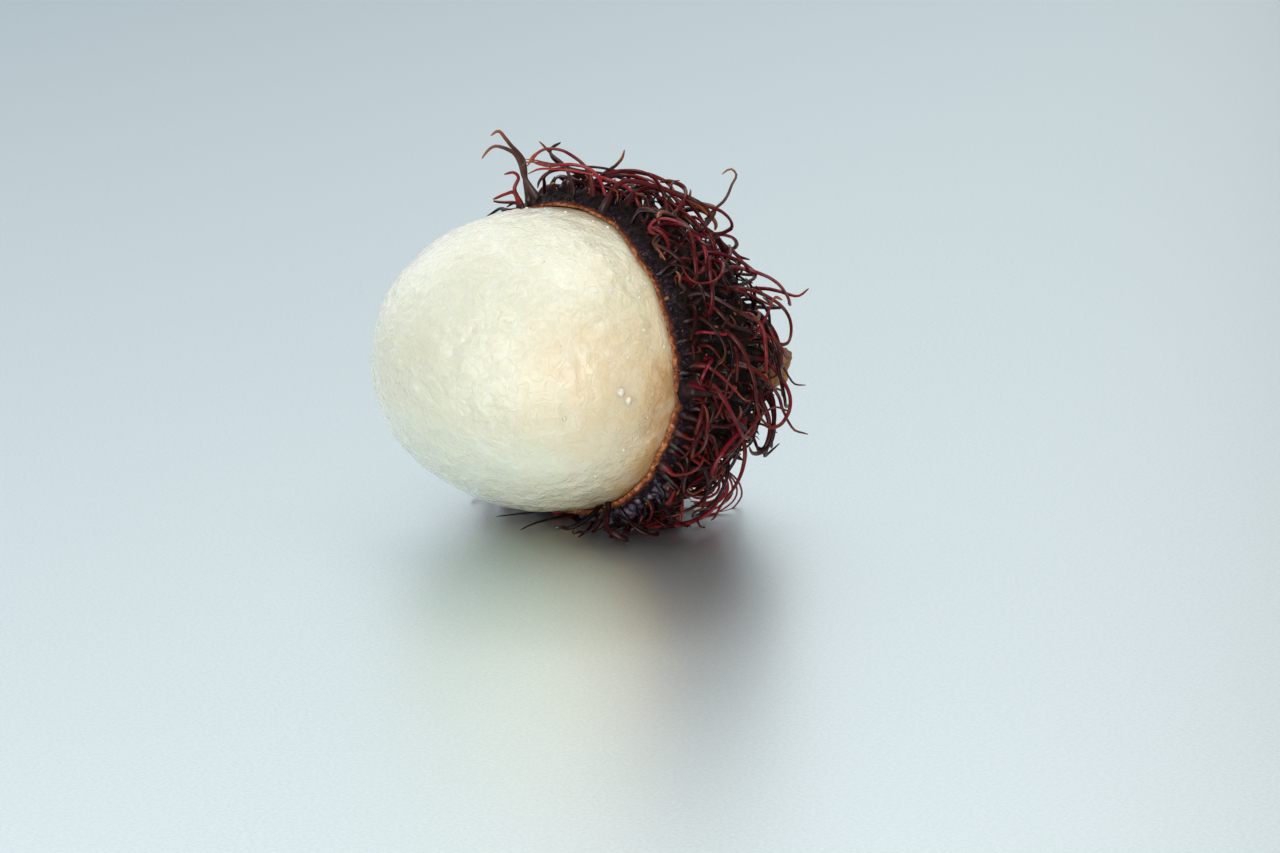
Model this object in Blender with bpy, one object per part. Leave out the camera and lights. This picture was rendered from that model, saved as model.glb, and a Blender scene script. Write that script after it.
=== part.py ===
"""An opened rambutan: one half of the spiny rind, with the whole white aril still seated in it.

The fruit lies on its side. +X runs along its long axis to the stem end, the torn mouth of the rind
faces -X and a little to -Y, +Z is up, and the origin is on the surface it lies on, below the middle of
the spot where its underside is pressed flat. It stands on the tips of three strands round its weight.
Shapes are worked out in the fruit's own frame, in millimetres: x along the axis from the aril's middle
to the stem, z up before the fruit is tilted. fruit_to_world then places them, in metres.
"""
import math
import random

import bmesh
import bpy
from mathutils import Matrix, Vector

MM = 0.001

# Aril: the white flesh, an egg lying along the axis.
ARIL_LENGTH = 39.0
ARIL_WIDTH = 33.3

# Rind: the wall is thin at its torn rim and thick round the stem.
SEAT_GAP = 0.35
RIM_WALL = 1.5
STEM_WALL = 3.6

# Mouth: the plane that the rind was torn open along, and how far its edge wanders from that plane.
MOUTH_CENTRE = 2.9
MOUTH_TURN = math.radians(22.0)
MOUTH_RISE = math.radians(-3.0)
TORN_WANDER = 0.55

# How the fruit lies: the flat spot's middle is a little stemwards of the lowest point, because the
# mouth cuts the spot off on its other side. The spot itself just clears the surface.
TIP_RISE = math.radians(8.0)
FLAT_DEPTH = 0.45
SPOT_AHEAD = 2.4
SPOT_CLEARANCE = 0.25

# Spines, called spinterns: soft, flattened and curled strands on broad roots.
SPINE_SEED = 27
SPINE_SITES = 204
SPINE_LENGTH = (9.5, 16.0)
SPINE_WIDTH = (1.1, 0.5)
ROOT_WIDTH = 2.6
ROOT_SINK = 0.9
SPINE_STEPS = 9
RIM_MARGIN = 1.6
STUB_MARGIN = 3.6
GROUND_CLEARANCE = 0.5

# Strands with a course of their own, as points in the fruit's frame. Each starts at its root.
# A pair on the rim's far side stands up and hooks over, and one more stands over the stem's shoulder.
STANDING = (
    ((-0.6, 9.5, 16.0), (-1.3, 9.5, 17.9), (-2.0, 9.5, 20.5), (-4.2, 9.5, 22.5), (-5.2, 9.5, 23.4),
     (-6.1, 9.5, 22.9)),
    ((-0.2, 8.4, 16.5), (-1.7, 9.0, 18.6), (-3.3, 8.5, 21.2), (-5.4, 8.5, 21.9), (-6.5, 8.5, 21.5),
     (-7.1, 8.5, 20.5)),
    ((15.8, 0.0, 13.7), (17.4, 0.5, 17.2), (18.9, 0.5, 18.9), (19.6, 0.5, 20.7), (19.9, 0.5, 21.9),
     (19.1, 0.5, 22.5), (18.2, 0.5, 21.8)),
)
# Strands combed along the crown, some to the rim and some to the stem.
CROWN = (
    ((3.4, 1.0, 18.3), (2.6, 1.0, 21.0), (0.4, 2.0, 22.7), (-1.6, 3.0, 22.9), (-2.9, 4.0, 21.9),
     (-3.1, 5.0, 20.5)),
    ((4.6, -0.4, 18.1), (3.1, 0.0, 21.0), (0.7, 1.0, 21.7), (-1.8, 2.0, 21.2), (-3.4, 2.6, 21.5),
     (-2.7, 3.0, 22.4)),
    ((3.9, 3.2, 17.9), (5.2, 2.6, 20.4), (7.7, 2.0, 21.3), (10.7, 2.0, 20.9), (12.8, 2.0, 20.0),
     (13.9, 2.2, 18.6)),
    ((8.4, -1.4, 17.2), (6.8, -1.0, 19.7), (4.1, 0.0, 20.6), (0.8, 1.0, 21.0), (-2.0, 2.0, 20.9),
     (-3.6, 3.2, 20.0)),
    ((3.6, -2.6, 18.1), (5.3, -2.0, 20.6), (8.7, -2.0, 20.5), (11.7, -2.0, 19.7), (15.2, -1.0, 18.4),
     (17.2, 0.0, 17.2)),
)
# A fan of strands that hang from the stem's shoulder on the mouth's side and turn back to the ground.
FAN = (
    ((18.9, -3.0, -9.9), (21.0, -3.5, -10.7), (22.4, -4.0, -12.0), (22.4, -4.5, -13.6),
     (20.2, -5.5, -14.9), (17.2, -6.0, -15.1)),
    ((17.9, -4.2, -10.9), (20.0, -4.5, -11.0), (21.3, -5.0, -12.1), (21.0, -5.6, -13.4),
     (19.0, -6.6, -14.0), (16.7, -7.2, -13.9)),
    ((17.5, -5.4, -10.2), (19.1, -5.6, -10.1), (19.9, -6.2, -11.2), (19.6, -6.9, -12.5),
     (17.8, -7.6, -13.2), (15.7, -8.0, -12.8)),
)

# Strands that run out under the fruit, as a start, an end and a sway to one side. The first three end
# in a curled tip that touches the surface in one low point: they carry the fruit.
FEET = (
    ((0.1, -2.0), (-8.4, -3.6), 0.9),
    ((-2.9, 3.4), (-6.9, 7.6), 0.7),
    ((3.5, 0.5), (9.0, -1.0), 0.6),
    ((-1.4, 1.5), (-9.2, 2.2), -0.8),
    ((0.1, -3.2), (-3.4, -8.4), -0.7),
)
STANDING_FEET = 3
FOOT_HEIGHT = 0.8
FOOT_WIDTH = 1.1
TOE_RADIUS = 0.6

# Stub of the stalk.
STUB_WIDTH = 4.6
STUB_HEIGHT = 4.2
STUB_GAP = 0.3

ARIL_RADII = Vector((ARIL_LENGTH / 2, ARIL_WIDTH / 2, ARIL_WIDTH / 2))
LINING_RADII = ARIL_RADII + Vector((SEAT_GAP, SEAT_GAP, SEAT_GAP))
SKIN_RADII = LINING_RADII + Vector((STEM_WALL, RIM_WALL, RIM_WALL))

COLOURS = {
    "aril_flesh": ((0.80, 0.78, 0.62), 0.25),
    "rind_skin": ((0.030, 0.018, 0.016), 0.55),
    "rind_flesh": ((0.42, 0.13, 0.03), 0.60),
    "stub_cork": ((0.40, 0.21, 0.09), 0.80),
}


def material(name):
    colour, roughness = COLOURS[name]
    made = bpy.data.materials.new(name)
    made.use_nodes = True
    shader = made.node_tree.nodes["Principled BSDF"]
    shader.inputs["Base Color"].default_value = (*colour, 1.0)
    shader.inputs["Roughness"].default_value = roughness
    shader.inputs["Metallic"].default_value = 0.0
    made.diffuse_color = (*colour, 1.0)
    return made


def clear_scene():
    for obj in list(bpy.data.objects):
        bpy.data.objects.remove(obj)


def lowest_reach():
    """How far below the aril's middle the tilted skin's ellipsoid reaches, and how far along +X."""
    down = Vector((math.sin(TIP_RISE), 0, -math.cos(TIP_RISE)))
    scaled = Vector((SKIN_RADII.x * down.x, 0, SKIN_RADII.z * down.z))
    reach = scaled.length
    point = Vector((SKIN_RADII.x * scaled.x, 0, SKIN_RADII.z * scaled.z)) / reach
    along = point.x * math.cos(TIP_RISE) + point.z * math.sin(TIP_RISE)
    return reach, along


def fruit_to_world():
    """The matrix from the fruit's frame in millimetres to the world in metres."""
    reach, along = lowest_reach()
    place = Matrix.Translation(Vector((-along - SPOT_AHEAD, 0, reach - FLAT_DEPTH + SPOT_CLEARANCE)))
    return Matrix.Scale(MM, 4) @ place @ Matrix.Rotation(TIP_RISE, 4, "Y")


FRUIT = fruit_to_world()
GROUND = FRUIT.inverted()


def add_object(name, mesh, *materials):
    obj = bpy.data.objects.new(name, mesh)
    bpy.context.scene.collection.objects.link(obj)
    for made in materials:
        mesh.materials.append(made)
    return obj


def mesh_from(name, bm):
    bmesh.ops.recalc_face_normals(bm, faces=bm.faces)
    bm.transform(FRUIT)
    mesh = bpy.data.meshes.new(name)
    bm.to_mesh(mesh)
    bm.free()
    return mesh


def make_helper(obj):
    """Marks a cutter or a guide, which is no part of the fruit."""
    obj.hide_render = True
    obj.display_type = "WIRE"
    return obj


def apply_modifiers(obj):
    graph = bpy.context.evaluated_depsgraph_get()
    made = bpy.data.meshes.new_from_object(obj.evaluated_get(graph))
    obj.modifiers.clear()
    obj.data = made


def ellipsoid(radii, around, along):
    """A closed ellipsoid with its poles on the fruit's axis, as a bmesh in the fruit's frame."""
    bm = bmesh.new()
    bmesh.ops.create_uvsphere(bm, u_segments=around, v_segments=along, radius=1.0)
    bm.transform(Matrix.Diagonal((*radii, 1.0)) @ Matrix.Rotation(math.pi / 2, 4, "Y"))
    return bm


def mouth_normal():
    """The way the torn mouth faces, out of the rind, in the fruit's frame."""
    level = Vector((-math.cos(MOUTH_TURN), -math.sin(MOUTH_TURN), 0))
    facing = level * math.cos(MOUTH_RISE) + Vector((0, 0, math.sin(MOUTH_RISE)))
    return facing.normalized()


def mouth_axes():
    """Two directions in the mouth's plane: across it and up it."""
    facing = mouth_normal()
    across = facing.cross(Vector((0, 0, 1))).normalized()
    return across, across.cross(facing)


def torn_wander(angle):
    """How far the torn edge stands out of the mouth's plane at an angle round it."""
    waves = ((3, 0.4, 0.45), (5, 2.1, 0.3), (9, 1.0, 0.3), (14, 3.0, 0.22), (23, 0.7, 0.14))
    return TORN_WANDER * sum(size * math.sin(count * angle + phase) for count, phase, size in waves)


def past_mouth(point):
    """How far a point lies outside the torn edge, along the way the mouth faces."""
    across, up = mouth_axes()
    offset = point - Vector((MOUTH_CENTRE, 0, 0))
    angle = math.atan2(offset.dot(up), offset.dot(across))
    return offset.dot(mouth_normal()) - torn_wander(angle)


def skin_normal(point):
    squared = [r * r for r in SKIN_RADII]
    return Vector([c / s for c, s in zip(point, squared)]).normalized()


def height_over(point, radii):
    """Roughly how far a point stands off an ellipsoid, negative inside it."""
    share = Vector([c / r for c, r in zip(point, radii)]).length
    slope = Vector([c / (r * r) for c, r in zip(point, radii)]).length / share
    return (share - 1) / slope


def spine_sites():
    """Where spines root: a golden-angle spiral over the skin, from the stem pole to the rim."""
    golden = math.pi * (3 - math.sqrt(5))
    sites = []
    for number in range(SPINE_SITES):
        along = 1 - 2 * (number + 0.5) / SPINE_SITES
        ring = math.sqrt(1 - along * along)
        turn = number * golden
        on_ball = Vector((along, ring * math.cos(turn), ring * math.sin(turn)))
        site = Vector([c * r for c, r in zip(on_ball, SKIN_RADII)])
        from_stem = math.hypot(site.y, site.z)
        if past_mouth(site) < -RIM_MARGIN and (from_stem > STUB_MARGIN or site.x < 0):
            sites.append(site)
    return sites


def tangent(direction, normal):
    return direction - normal * direction.dot(normal)


def strand_path(root, heading, length, crest, peak, sway, hook, roll):
    """The middle line of one spine, in the fruit's frame.

    It leaves its root squarely, rises to its crest at the peak share of its length, sways as it runs
    over the skin along its heading, and hooks at the tip. roll tips the hook from lying on the skin
    (0) to standing on it.
    """
    normal = skin_normal(root)
    direction = (normal + heading * 0.35).normalized()
    point = root + normal * 0.4
    path = [root - normal * ROOT_SINK, point]
    step = length / SPINE_STEPS
    for number in range(SPINE_STEPS):
        share = (number + 1) / SPINE_STEPS
        point = point + direction * step
        normal = skin_normal(point)
        axis = normal * math.cos(roll) + direction.cross(normal).normalized() * math.sin(roll)
        turned = Matrix.Rotation((sway + hook * share ** 3) * step, 3, axis) @ direction
        wanted = crest * math.sin(math.pi / 2 * min(1.0, share / peak))
        if share > peak:
            wanted *= 1 - 0.6 * (share - peak) / (1 - peak)
        rise = (wanted - height_over(point, SKIN_RADII)) / (2.2 * step)
        aim = tangent(turned, normal).normalized() + normal * max(-1.2, min(1.2, rise))
        hold = 0.5 * (1 - share * share * abs(math.sin(roll)))
        direction = turned.lerp(aim.normalized(), hold).normalized()
        point = keep_clear(point)
        path.append(point)
    return path


def keep_clear(point):
    """The point, moved where it has to be so that a spine clears the skin, the aril and the ground."""
    off_skin = height_over(point, SKIN_RADII)
    if off_skin < 0.9 and past_mouth(point) < 0:
        point = point + skin_normal(point) * (0.9 - off_skin)
    off_aril = height_over(point, ARIL_RADII)
    if off_aril < 1.6:
        point = point + skin_normal(point) * (1.6 - off_aril)
    world = FRUIT @ point
    world.z = max(world.z, (GROUND_CLEARANCE + 0.2) * MM)
    return GROUND @ world


def mat_strand(root, rng):
    """One of the many strands that lie over each other and droop down the rind."""
    normal = skin_normal(root)
    down = (GROUND.to_3x3() @ Vector((0, 0, -1))).normalized()
    loose = Vector([rng.gauss(0, 1) for _ in range(3)]).normalized()
    along = Vector((rng.choice((-1.0, 1.0, 1.0)), 0, 0))
    heading = tangent(down * 0.9 + along * 0.5 + loose * 0.9, normal).normalized()
    over_rim = heading.dot(mouth_normal()) * max(0.0, 1 + past_mouth(root) / 16)
    heading = tangent(heading - mouth_normal() * 2 * max(0.0, over_rim), normal).normalized()
    length = rng.uniform(*SPINE_LENGTH)
    crest = rng.triangular(1.6, 6.0, 3.0)
    sway = rng.uniform(-0.09, 0.09)
    hook = math.copysign(rng.uniform(0.15, 1.0), sway)
    roll = rng.choice((0.0, 0.0, 0.5, -0.5, 1.4, -1.4))
    return strand_path(root, heading, length, crest, 0.35, sway, hook, roll)


def laid_strand(points):
    """A strand through its own points, on a smooth curve, with its root sunk in the rind."""
    points = [Vector(point) for point in points]
    ends = [points[0] * 2 - points[1], *points, points[-1] * 2 - points[-2]]
    path = [points[0] - skin_normal(points[0]) * ROOT_SINK]
    spans = len(points) - 1
    for number in range(SPINE_STEPS + 1):
        along = min(number * spans / SPINE_STEPS, spans - 1e-6)
        span, t = int(along), along % 1.0
        a, b, c, d = ends[span:span + 4]
        bend = (a * -1 + b * 3 - c * 3 + d) * t ** 3 + (a * 2 - b * 5 + c * 4 - d) * t ** 2
        path.append((bend + (c - a) * t + b * 2) / 2)
    return path


def foot_strand(start, end, sway):
    """A strand close over the ground: it leaves the fruit's underside and curves to its end."""
    start, end = Vector((*start, 0)), Vector((*end, 0))
    aside = (end - start).cross(Vector((0, 0, 1))).normalized()
    path = []
    for number in range(SPINE_STEPS + 1):
        share = number / SPINE_STEPS
        spot = start.lerp(end, share) + aside * sway * math.sin(math.pi * share)
        path.append(GROUND @ Vector((spot.x * MM, spot.y * MM, FOOT_HEIGHT * MM)))
    return path


def spine_paths():
    paths = []
    for number, site in enumerate(spine_sites()):
        paths.append(mat_strand(site, random.Random(SPINE_SEED + number)))
    return paths + [laid_strand(points) for points in STANDING + CROWN + FAN]


def spine_width(share):
    """Full width of a spine at a share of its length: a broad root, then a long even taper."""
    strand = SPINE_WIDTH[0] + (SPINE_WIDTH[1] - SPINE_WIDTH[0]) * share
    flare = ROOT_WIDTH * max(0.0, 1 - share * 3.5) ** 1.6
    return max(strand, flare)


def spine_profile():
    """The flattened three-sided section that the spines share, one unit wide."""
    curve = bpy.data.curves.new("spine_profile", "CURVE")
    curve.dimensions = "2D"
    corners = ((-0.5, -0.2), (0.5, -0.2), (0.0, 0.4))
    spline = curve.splines.new("POLY")
    spline.points.add(len(corners) - 1)
    for spot, (x, y) in zip(spline.points, corners):
        spot.co = (x * MM, y * MM, 0, 1)
    spline.use_cyclic_u = True
    profile = bpy.data.objects.new("spine_profile", curve)
    bpy.context.scene.collection.objects.link(profile)
    return make_helper(profile)


def foot_width(_share):
    return FOOT_WIDTH


def spine_object(name, path, width, profile, skin):
    """One spine as a closed mesh: a curve swept with the shared section and capped at both ends."""
    curve = bpy.data.curves.new(name, "CURVE")
    curve.dimensions = "3D"
    curve.bevel_mode = "OBJECT"
    curve.bevel_object = profile
    curve.use_fill_caps = True
    spline = curve.splines.new("POLY")
    spline.points.add(len(path) - 1)
    for place, (spot, point) in enumerate(zip(spline.points, path)):
        spot.co = (*(FRUIT @ point), 1)
        spot.radius = width(place / (len(path) - 1))
    swept = bpy.data.objects.new(curve.name, curve)
    bpy.context.scene.collection.objects.link(swept)
    graph = bpy.context.evaluated_depsgraph_get()
    mesh = bpy.data.meshes.new_from_object(swept.evaluated_get(graph))
    bpy.data.objects.remove(swept)
    bm = bmesh.new()
    bm.from_mesh(mesh)
    bmesh.ops.remove_doubles(bm, verts=bm.verts, dist=1e-7)
    bmesh.ops.recalc_face_normals(bm, faces=bm.faces)
    bm.to_mesh(mesh)
    bm.free()
    mesh.materials.clear()
    mesh.materials.append(skin)
    return bpy.data.objects.new(name, mesh)


def toe_object(number, skin):
    """The curled tip of a foot: a small ball with one corner on the ground."""
    bm = bmesh.new()
    bmesh.ops.create_icosphere(bm, subdivisions=1, radius=TOE_RADIUS)
    end = FEET[number][1]
    bm.transform(Matrix.Scale(MM, 4) @ Matrix.Translation((*end, TOE_RADIUS)))
    mesh = bpy.data.meshes.new(f"toe_{number}")
    bm.to_mesh(mesh)
    bm.free()
    mesh.materials.append(skin)
    return bpy.data.objects.new(f"toe_{number}", mesh)


def mouth_cutter(flesh):
    """A tall plug whose lower face wanders as the torn edge does, and opens the rind's mouth."""
    across, up = mouth_axes()
    facing = mouth_normal()
    centre = Vector((MOUTH_CENTRE, 0, 0))
    bm = bmesh.new()
    rings = []
    around = 72
    for share, radius in ((0.0, 0.0), (0.6, 10.0), (1.0, 15.5), (1.0, 20.5), (1.0, 30.0)):
        if not radius:
            rings.append([bm.verts.new(centre)])
            continue
        ring = []
        for number in range(around):
            angle = 2 * math.pi * number / around
            spoke = across * math.cos(angle) + up * math.sin(angle)
            wander = share * torn_wander(angle)
            ring.append(bm.verts.new(centre + spoke * radius + facing * wander))
        rings.append(ring)
    for number in range(around):
        bm.faces.new((rings[0][0], rings[1][number], rings[1][(number + 1) % around]))
    for inner, outer in zip(rings[1:], rings[2:]):
        for number in range(around):
            following = (number + 1) % around
            bm.faces.new((inner[number], outer[number], outer[following], inner[following]))
    grown = bmesh.ops.extrude_face_region(bm, geom=bm.faces[:])
    moved = [item for item in grown["geom"] if isinstance(item, bmesh.types.BMVert)]
    bmesh.ops.translate(bm, verts=moved, vec=facing * 60)
    return make_helper(add_object("mouth_cutter", mesh_from("mouth_cutter", bm), flesh))


def ground_cutter():
    """Everything below the flat spot: it presses the fruit's underside."""
    bm = bmesh.new()
    bmesh.ops.create_cube(bm, size=1.0)
    place = Matrix.Translation((0, 0, SPOT_CLEARANCE * MM - 0.01))
    bm.transform(place @ Matrix.Diagonal((0.12, 0.12, 0.02, 1)))
    mesh = bpy.data.meshes.new("ground_cutter")
    bm.to_mesh(mesh)
    bm.free()
    return make_helper(add_object("ground_cutter", mesh))


def cut(obj, cutter):
    modifier = obj.modifiers.new(cutter.name, "BOOLEAN")
    modifier.operation = "DIFFERENCE"
    modifier.object = cutter


def join(obj, name, pieces):
    """Joins the pieces on: a boolean with a collection that holds them."""
    group = bpy.data.collections.new(name)
    bpy.context.scene.collection.children.link(group)
    for piece in pieces:
        group.objects.link(piece)
    modifier = obj.modifiers.new(f"join_{name}", "BOOLEAN")
    modifier.operation = "UNION"
    modifier.operand_type = "COLLECTION"
    modifier.collection = group
    return pieces


def build_aril(flesh):
    bm = ellipsoid(ARIL_RADII, 36, 20)
    aril = add_object("aril", mesh_from("aril", bm), flesh)
    aril.data.shade_smooth()


def build_rind(skin, flesh):
    """The half rind: a thick cup with a torn edge, its spines joined on, pressed flat where it lies."""
    rind = add_object("rind_half", mesh_from("rind_half", ellipsoid(SKIN_RADII, 44, 26)), skin, flesh)
    hollow = add_object("hollow_cutter", mesh_from("hollow", ellipsoid(LINING_RADII, 36, 20)), flesh)
    make_helper(hollow)
    cut(rind, hollow)
    cut(rind, mouth_cutter(flesh))
    apply_modifiers(rind)
    profile = spine_profile()
    spines = [
        spine_object(f"spine_{number}", path, spine_width, profile, skin)
        for number, path in enumerate(spine_paths())
    ]
    feet = [
        spine_object(f"foot_{number}", foot_strand(*one), foot_width, profile, skin)
        for number, one in enumerate(FEET)
    ]
    feet += [toe_object(number, skin) for number in range(STANDING_FEET)]
    join(rind, "spines", spines)
    cut(rind, ground_cutter())
    join(rind, "feet", feet)
    apply_modifiers(rind)
    for piece in spines + feet:
        bpy.data.objects.remove(piece)
    rind.data.shade_smooth()
    rind.data.set_sharp_from_angle(angle=math.radians(50))


def build_stub(cork):
    """The corky stub of the stalk: a squat, rounded knob on the stem pole."""
    bm = bmesh.new()
    bmesh.ops.create_icosphere(bm, subdivisions=2, radius=1.0)
    bm.transform(Matrix.Diagonal((STUB_HEIGHT / 2, STUB_WIDTH / 2, STUB_WIDTH / 2, 1.0)))
    centre = Vector((SKIN_RADII.x + STUB_GAP + STUB_HEIGHT / 2, 0, 0))
    bmesh.ops.translate(bm, verts=bm.verts, vec=centre)
    stub = add_object("stem_stub", mesh_from("stem_stub", bm), cork)
    stub.data.shade_smooth()


def main():
    clear_scene()
    build_aril(material("aril_flesh"))
    build_rind(material("rind_skin"), material("rind_flesh"))
    build_stub(material("stub_cork"))


main()
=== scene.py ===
"""Looks of the opened rambutan: wet white flesh, a torn spiny rind half and the corky stub of its stalk.

Shapes are worked out in millimetres in the fruit's own frame, x along its axis from the middle of the
flesh to the stem and z up before the fruit is tilted. FRUIT then places them, in metres.
"""
import math
import random
from typing import NamedTuple

import bmesh
import bpy
import numpy as np
from mathutils import Matrix, Vector, noise
from mathutils.kdtree import KDTree


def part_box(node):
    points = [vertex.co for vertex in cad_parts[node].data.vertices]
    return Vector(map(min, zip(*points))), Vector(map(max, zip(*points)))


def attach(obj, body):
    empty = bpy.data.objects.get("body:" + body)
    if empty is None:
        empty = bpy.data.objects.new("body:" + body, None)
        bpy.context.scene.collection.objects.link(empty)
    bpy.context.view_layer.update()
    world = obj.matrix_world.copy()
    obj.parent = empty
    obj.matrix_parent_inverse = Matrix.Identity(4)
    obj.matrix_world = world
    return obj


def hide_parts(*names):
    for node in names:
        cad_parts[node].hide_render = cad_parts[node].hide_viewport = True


MM = 0.001

# The fruit's driving sizes, as its solids have them.
FLESH_LENGTH = 39.0
FLESH_WIDTH = 33.3
SEAT_GAP = 0.35
RIM_WALL = 1.5
STEM_WALL = 3.6
MOUTH_CENTRE = 2.9
MOUTH_TURN = math.radians(22.0)
MOUTH_RISE = math.radians(-3.0)
TORN_WANDER = 0.55
TIP_RISE = math.radians(8.0)

# Where a warm glow is painted on the flesh, where it is smooth, and the bubbles on it with their radii.
PAINTED_GLOW, PAINTED_GLOW_REACH = Vector((-2.2, -16.2, 2.6)), 11.0
SMOOTH_PLACE = (-1.5, -15.6, -3.6)
BUBBLES = (
    ((2.4, -16.5, 0.5), 0.50),
    ((3.5, -16.4, -0.4), 0.43),
    ((-3.5, -16.1, -2.7), 0.26),
    ((4.3, -16.2, 1.4), 0.17),
    ((2.2, -16.4, -1.5), 0.14),
)

# Where the flesh sits in the rind it is smoother and stands out a little. Its colour is yellowest and
# darkest at the rim, as painted shade and warm glow from the rind, and palest this far from it.
SEAT_SMOOTHING, SEAT_FILL = 0.85, 0.22
PALE_REACH, RIM_PAINTED_SHADE = 26, 0.88

FLESH_RADII = Vector((FLESH_LENGTH / 2, FLESH_WIDTH / 2, FLESH_WIDTH / 2))
LINING_RADII = FLESH_RADII + Vector((SEAT_GAP, SEAT_GAP, SEAT_GAP))
SKIN_RADII = LINING_RADII + Vector((STEM_WALL, RIM_WALL, RIM_WALL))

# The outer skin: the bosses under its strands, the scales between them, and at the torn edge how far
# the lip thins and how deep the nicks reach. POLE_DEPTH stands for the poles' depth behind that edge.
BOSS_REACH, BOSS_HEIGHT = 2.3, 1.25
SCALE_SIZE, SCALE_HEIGHT = 2.4, 0.28
LIP_THINNING, NICK_REACH = 1.2, 0.6
POLE_DEPTH = 30.0

# The main strands, as the solids have them.
SPINE_SEED, SPINE_SITES, SPINE_LENGTH = 27, 204, (9.5, 16.0)
SPINE_STEPS = 9
ROOT_SINK = 0.9
RIM_MARGIN = 1.6
STUB_MARGIN = 3.6
TUFT_SIZE = 5.5

# A strand's flare ends at 1 / FLARE_FALL of its length. Its tip starts at TIP_START and thins this much.
FLARE_FALL = 3.6
TIP_START, TIP_FALL, TIP_THINNING = 0.9, 10.0, 0.55

# How a strand grows: how far it leans along its heading as it leaves the skin and how high it first
# stands, over how many steps it comes back to its wanted height, how steep it gets on the way, what
# share of its height it loses past its peak, and how closely it keeps to the skin's curve.
LEAN_OUT, FIRST_RISE = 0.35, 0.4
RETURN_STEPS, STEEPEST = 2.2, 1.2
SINK_BACK, SKIN_HOLD = 0.6, 0.5
MAIN_PEAK = 0.35

# How near a strand comes to the skin, the flesh, the ground and the torn edge.
SKIN_CLEARANCE = 0.9
FLESH_CLEARANCE = 1.6
GROUND_CLEARANCE = 0.7
EDGE_CLEARANCE = 0.9

# Finer strands between them, a mat of short ones, a fringe behind the rim, ground curls and claws.
FINE_SEED, FINE_SITES, FINE_LENGTH = 811, 560, (7.0, 14.0)
MAT_SEED, MAT_SITES, MAT_LENGTH = 5200, 700, (4.0, 9.0)
FRINGE_SEED, FRINGE_SITES, FRINGE_LENGTH = 9100, 2600, (3.5, 8.0)
FRINGE_DEPTH, FRINGE_START = 3.4, (0.6, 2.0)
LOW_SIDE, LOW_THINNING = -11.0, 0.7
GROUND_SEED, GROUND_CURLS = 61, 16
CLAW_SEED, CLAW_SITES, CLAW_LENGTH = 77, 300, (1.5, 3.0)
CLAW_SHAPE = {"Root Flare": 1.4 * MM, "Blade Width": 1.7 * MM, "Tip Width": 0.12 * MM, "Flatness": 0.8}

# A patch where the dark skin shows between fewer strands, and clusters of crumbs with their reach.
OPEN_PATCH, OPEN_REACH = Vector((12.6, -14.8, 5.0)), 8.5
CRUMB_CLUSTERS = (((12.6, -14.5, 8.0), 1.5), ((17.6, -10.6, 8.2), 1.2), ((14.0, -13.6, -6.5), 1.4))
CLUSTER_DENSITY = 30.0

# Strands listed one by one, each from the skin to its tip: those that stand up at the rim's far side and on
# the stem's shoulder, long arcs over the crown, some that lean back to the rim, wisps at its far side,
# and a fan of fine arcs low at the stem's side, with the shares at which more of them lie.
STANDING = (
    ((-0.6, 9.5, 16.0), (-1.3, 9.5, 17.9), (-2.0, 9.5, 20.5), (-4.2, 9.5, 22.5), (-5.2, 9.5, 23.4),
     (-6.1, 9.5, 22.9)),
    ((-0.2, 8.4, 16.5), (-1.7, 9.0, 18.6), (-3.3, 8.5, 21.2), (-5.4, 8.5, 21.9), (-6.5, 8.5, 21.5),
     (-7.1, 8.5, 20.5)),
    ((15.8, 0.0, 13.7), (17.4, 0.5, 17.2), (18.9, 0.5, 18.9), (19.6, 0.5, 20.7), (19.9, 0.5, 21.9),
     (19.1, 0.5, 22.5), (18.2, 0.5, 21.8)),
)
CROWN = (
    ((3.4, 1.0, 18.3), (2.6, 1.0, 21.0), (0.4, 2.0, 22.7), (-1.6, 3.0, 22.9), (-2.9, 4.0, 21.9),
     (-3.1, 5.0, 20.5)),
    ((4.6, -0.4, 18.1), (3.1, 0.0, 21.0), (0.7, 1.0, 21.7), (-1.8, 2.0, 21.2), (-3.4, 2.6, 21.5),
     (-2.7, 3.0, 22.4)),
    ((3.9, 3.2, 17.9), (5.2, 2.6, 20.4), (7.7, 2.0, 21.3), (10.7, 2.0, 20.9), (12.8, 2.0, 20.0),
     (13.9, 2.2, 18.6)),
    ((8.4, -1.4, 17.2), (6.8, -1.0, 19.7), (4.1, 0.0, 20.6), (0.8, 1.0, 21.0), (-2.0, 2.0, 20.9),
     (-3.6, 3.2, 20.0)),
    ((3.6, -2.6, 18.1), (5.3, -2.0, 20.6), (8.7, -2.0, 20.5), (11.7, -2.0, 19.7), (15.2, -1.0, 18.4),
     (17.2, 0.0, 17.2)),
)
LEANING = (
    ((13.6, -0.6, 16.3), (11.4, 0.2, 19.4), (6.6, 2.0, 20.5), (1.8, 3.5, 20.8), (-2.3, 5.0, 21.3),
     (-3.3, 5.4, 21.2)),
    ((12.4, 1.4, 17.4), (9.6, 2.0, 20.4), (5.1, 2.8, 21.2), (0.2, 4.0, 21.1), (-2.6, 5.6, 20.9),
     (-3.4, 5.8, 20.3)),
    ((1.6, 2.5, 18.9), (0.6, 3.0, 21.0), (-0.8, 3.6, 22.1), (-1.9, 4.0, 23.0), (-2.5, 4.0, 23.5)),
)
WISPS = (
    ((-1.8, 9.0, 15.7), (-2.7, 9.0, 17.1), (-2.4, 9.0, 18.5), (-3.1, 9.0, 19.1), (-4.1, 9.0, 18.8)),
    ((-1.9, 9.4, 15.6), (-2.6, 9.4, 16.7), (-3.6, 9.4, 16.4), (-4.9, 9.4, 15.8)),
)
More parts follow.
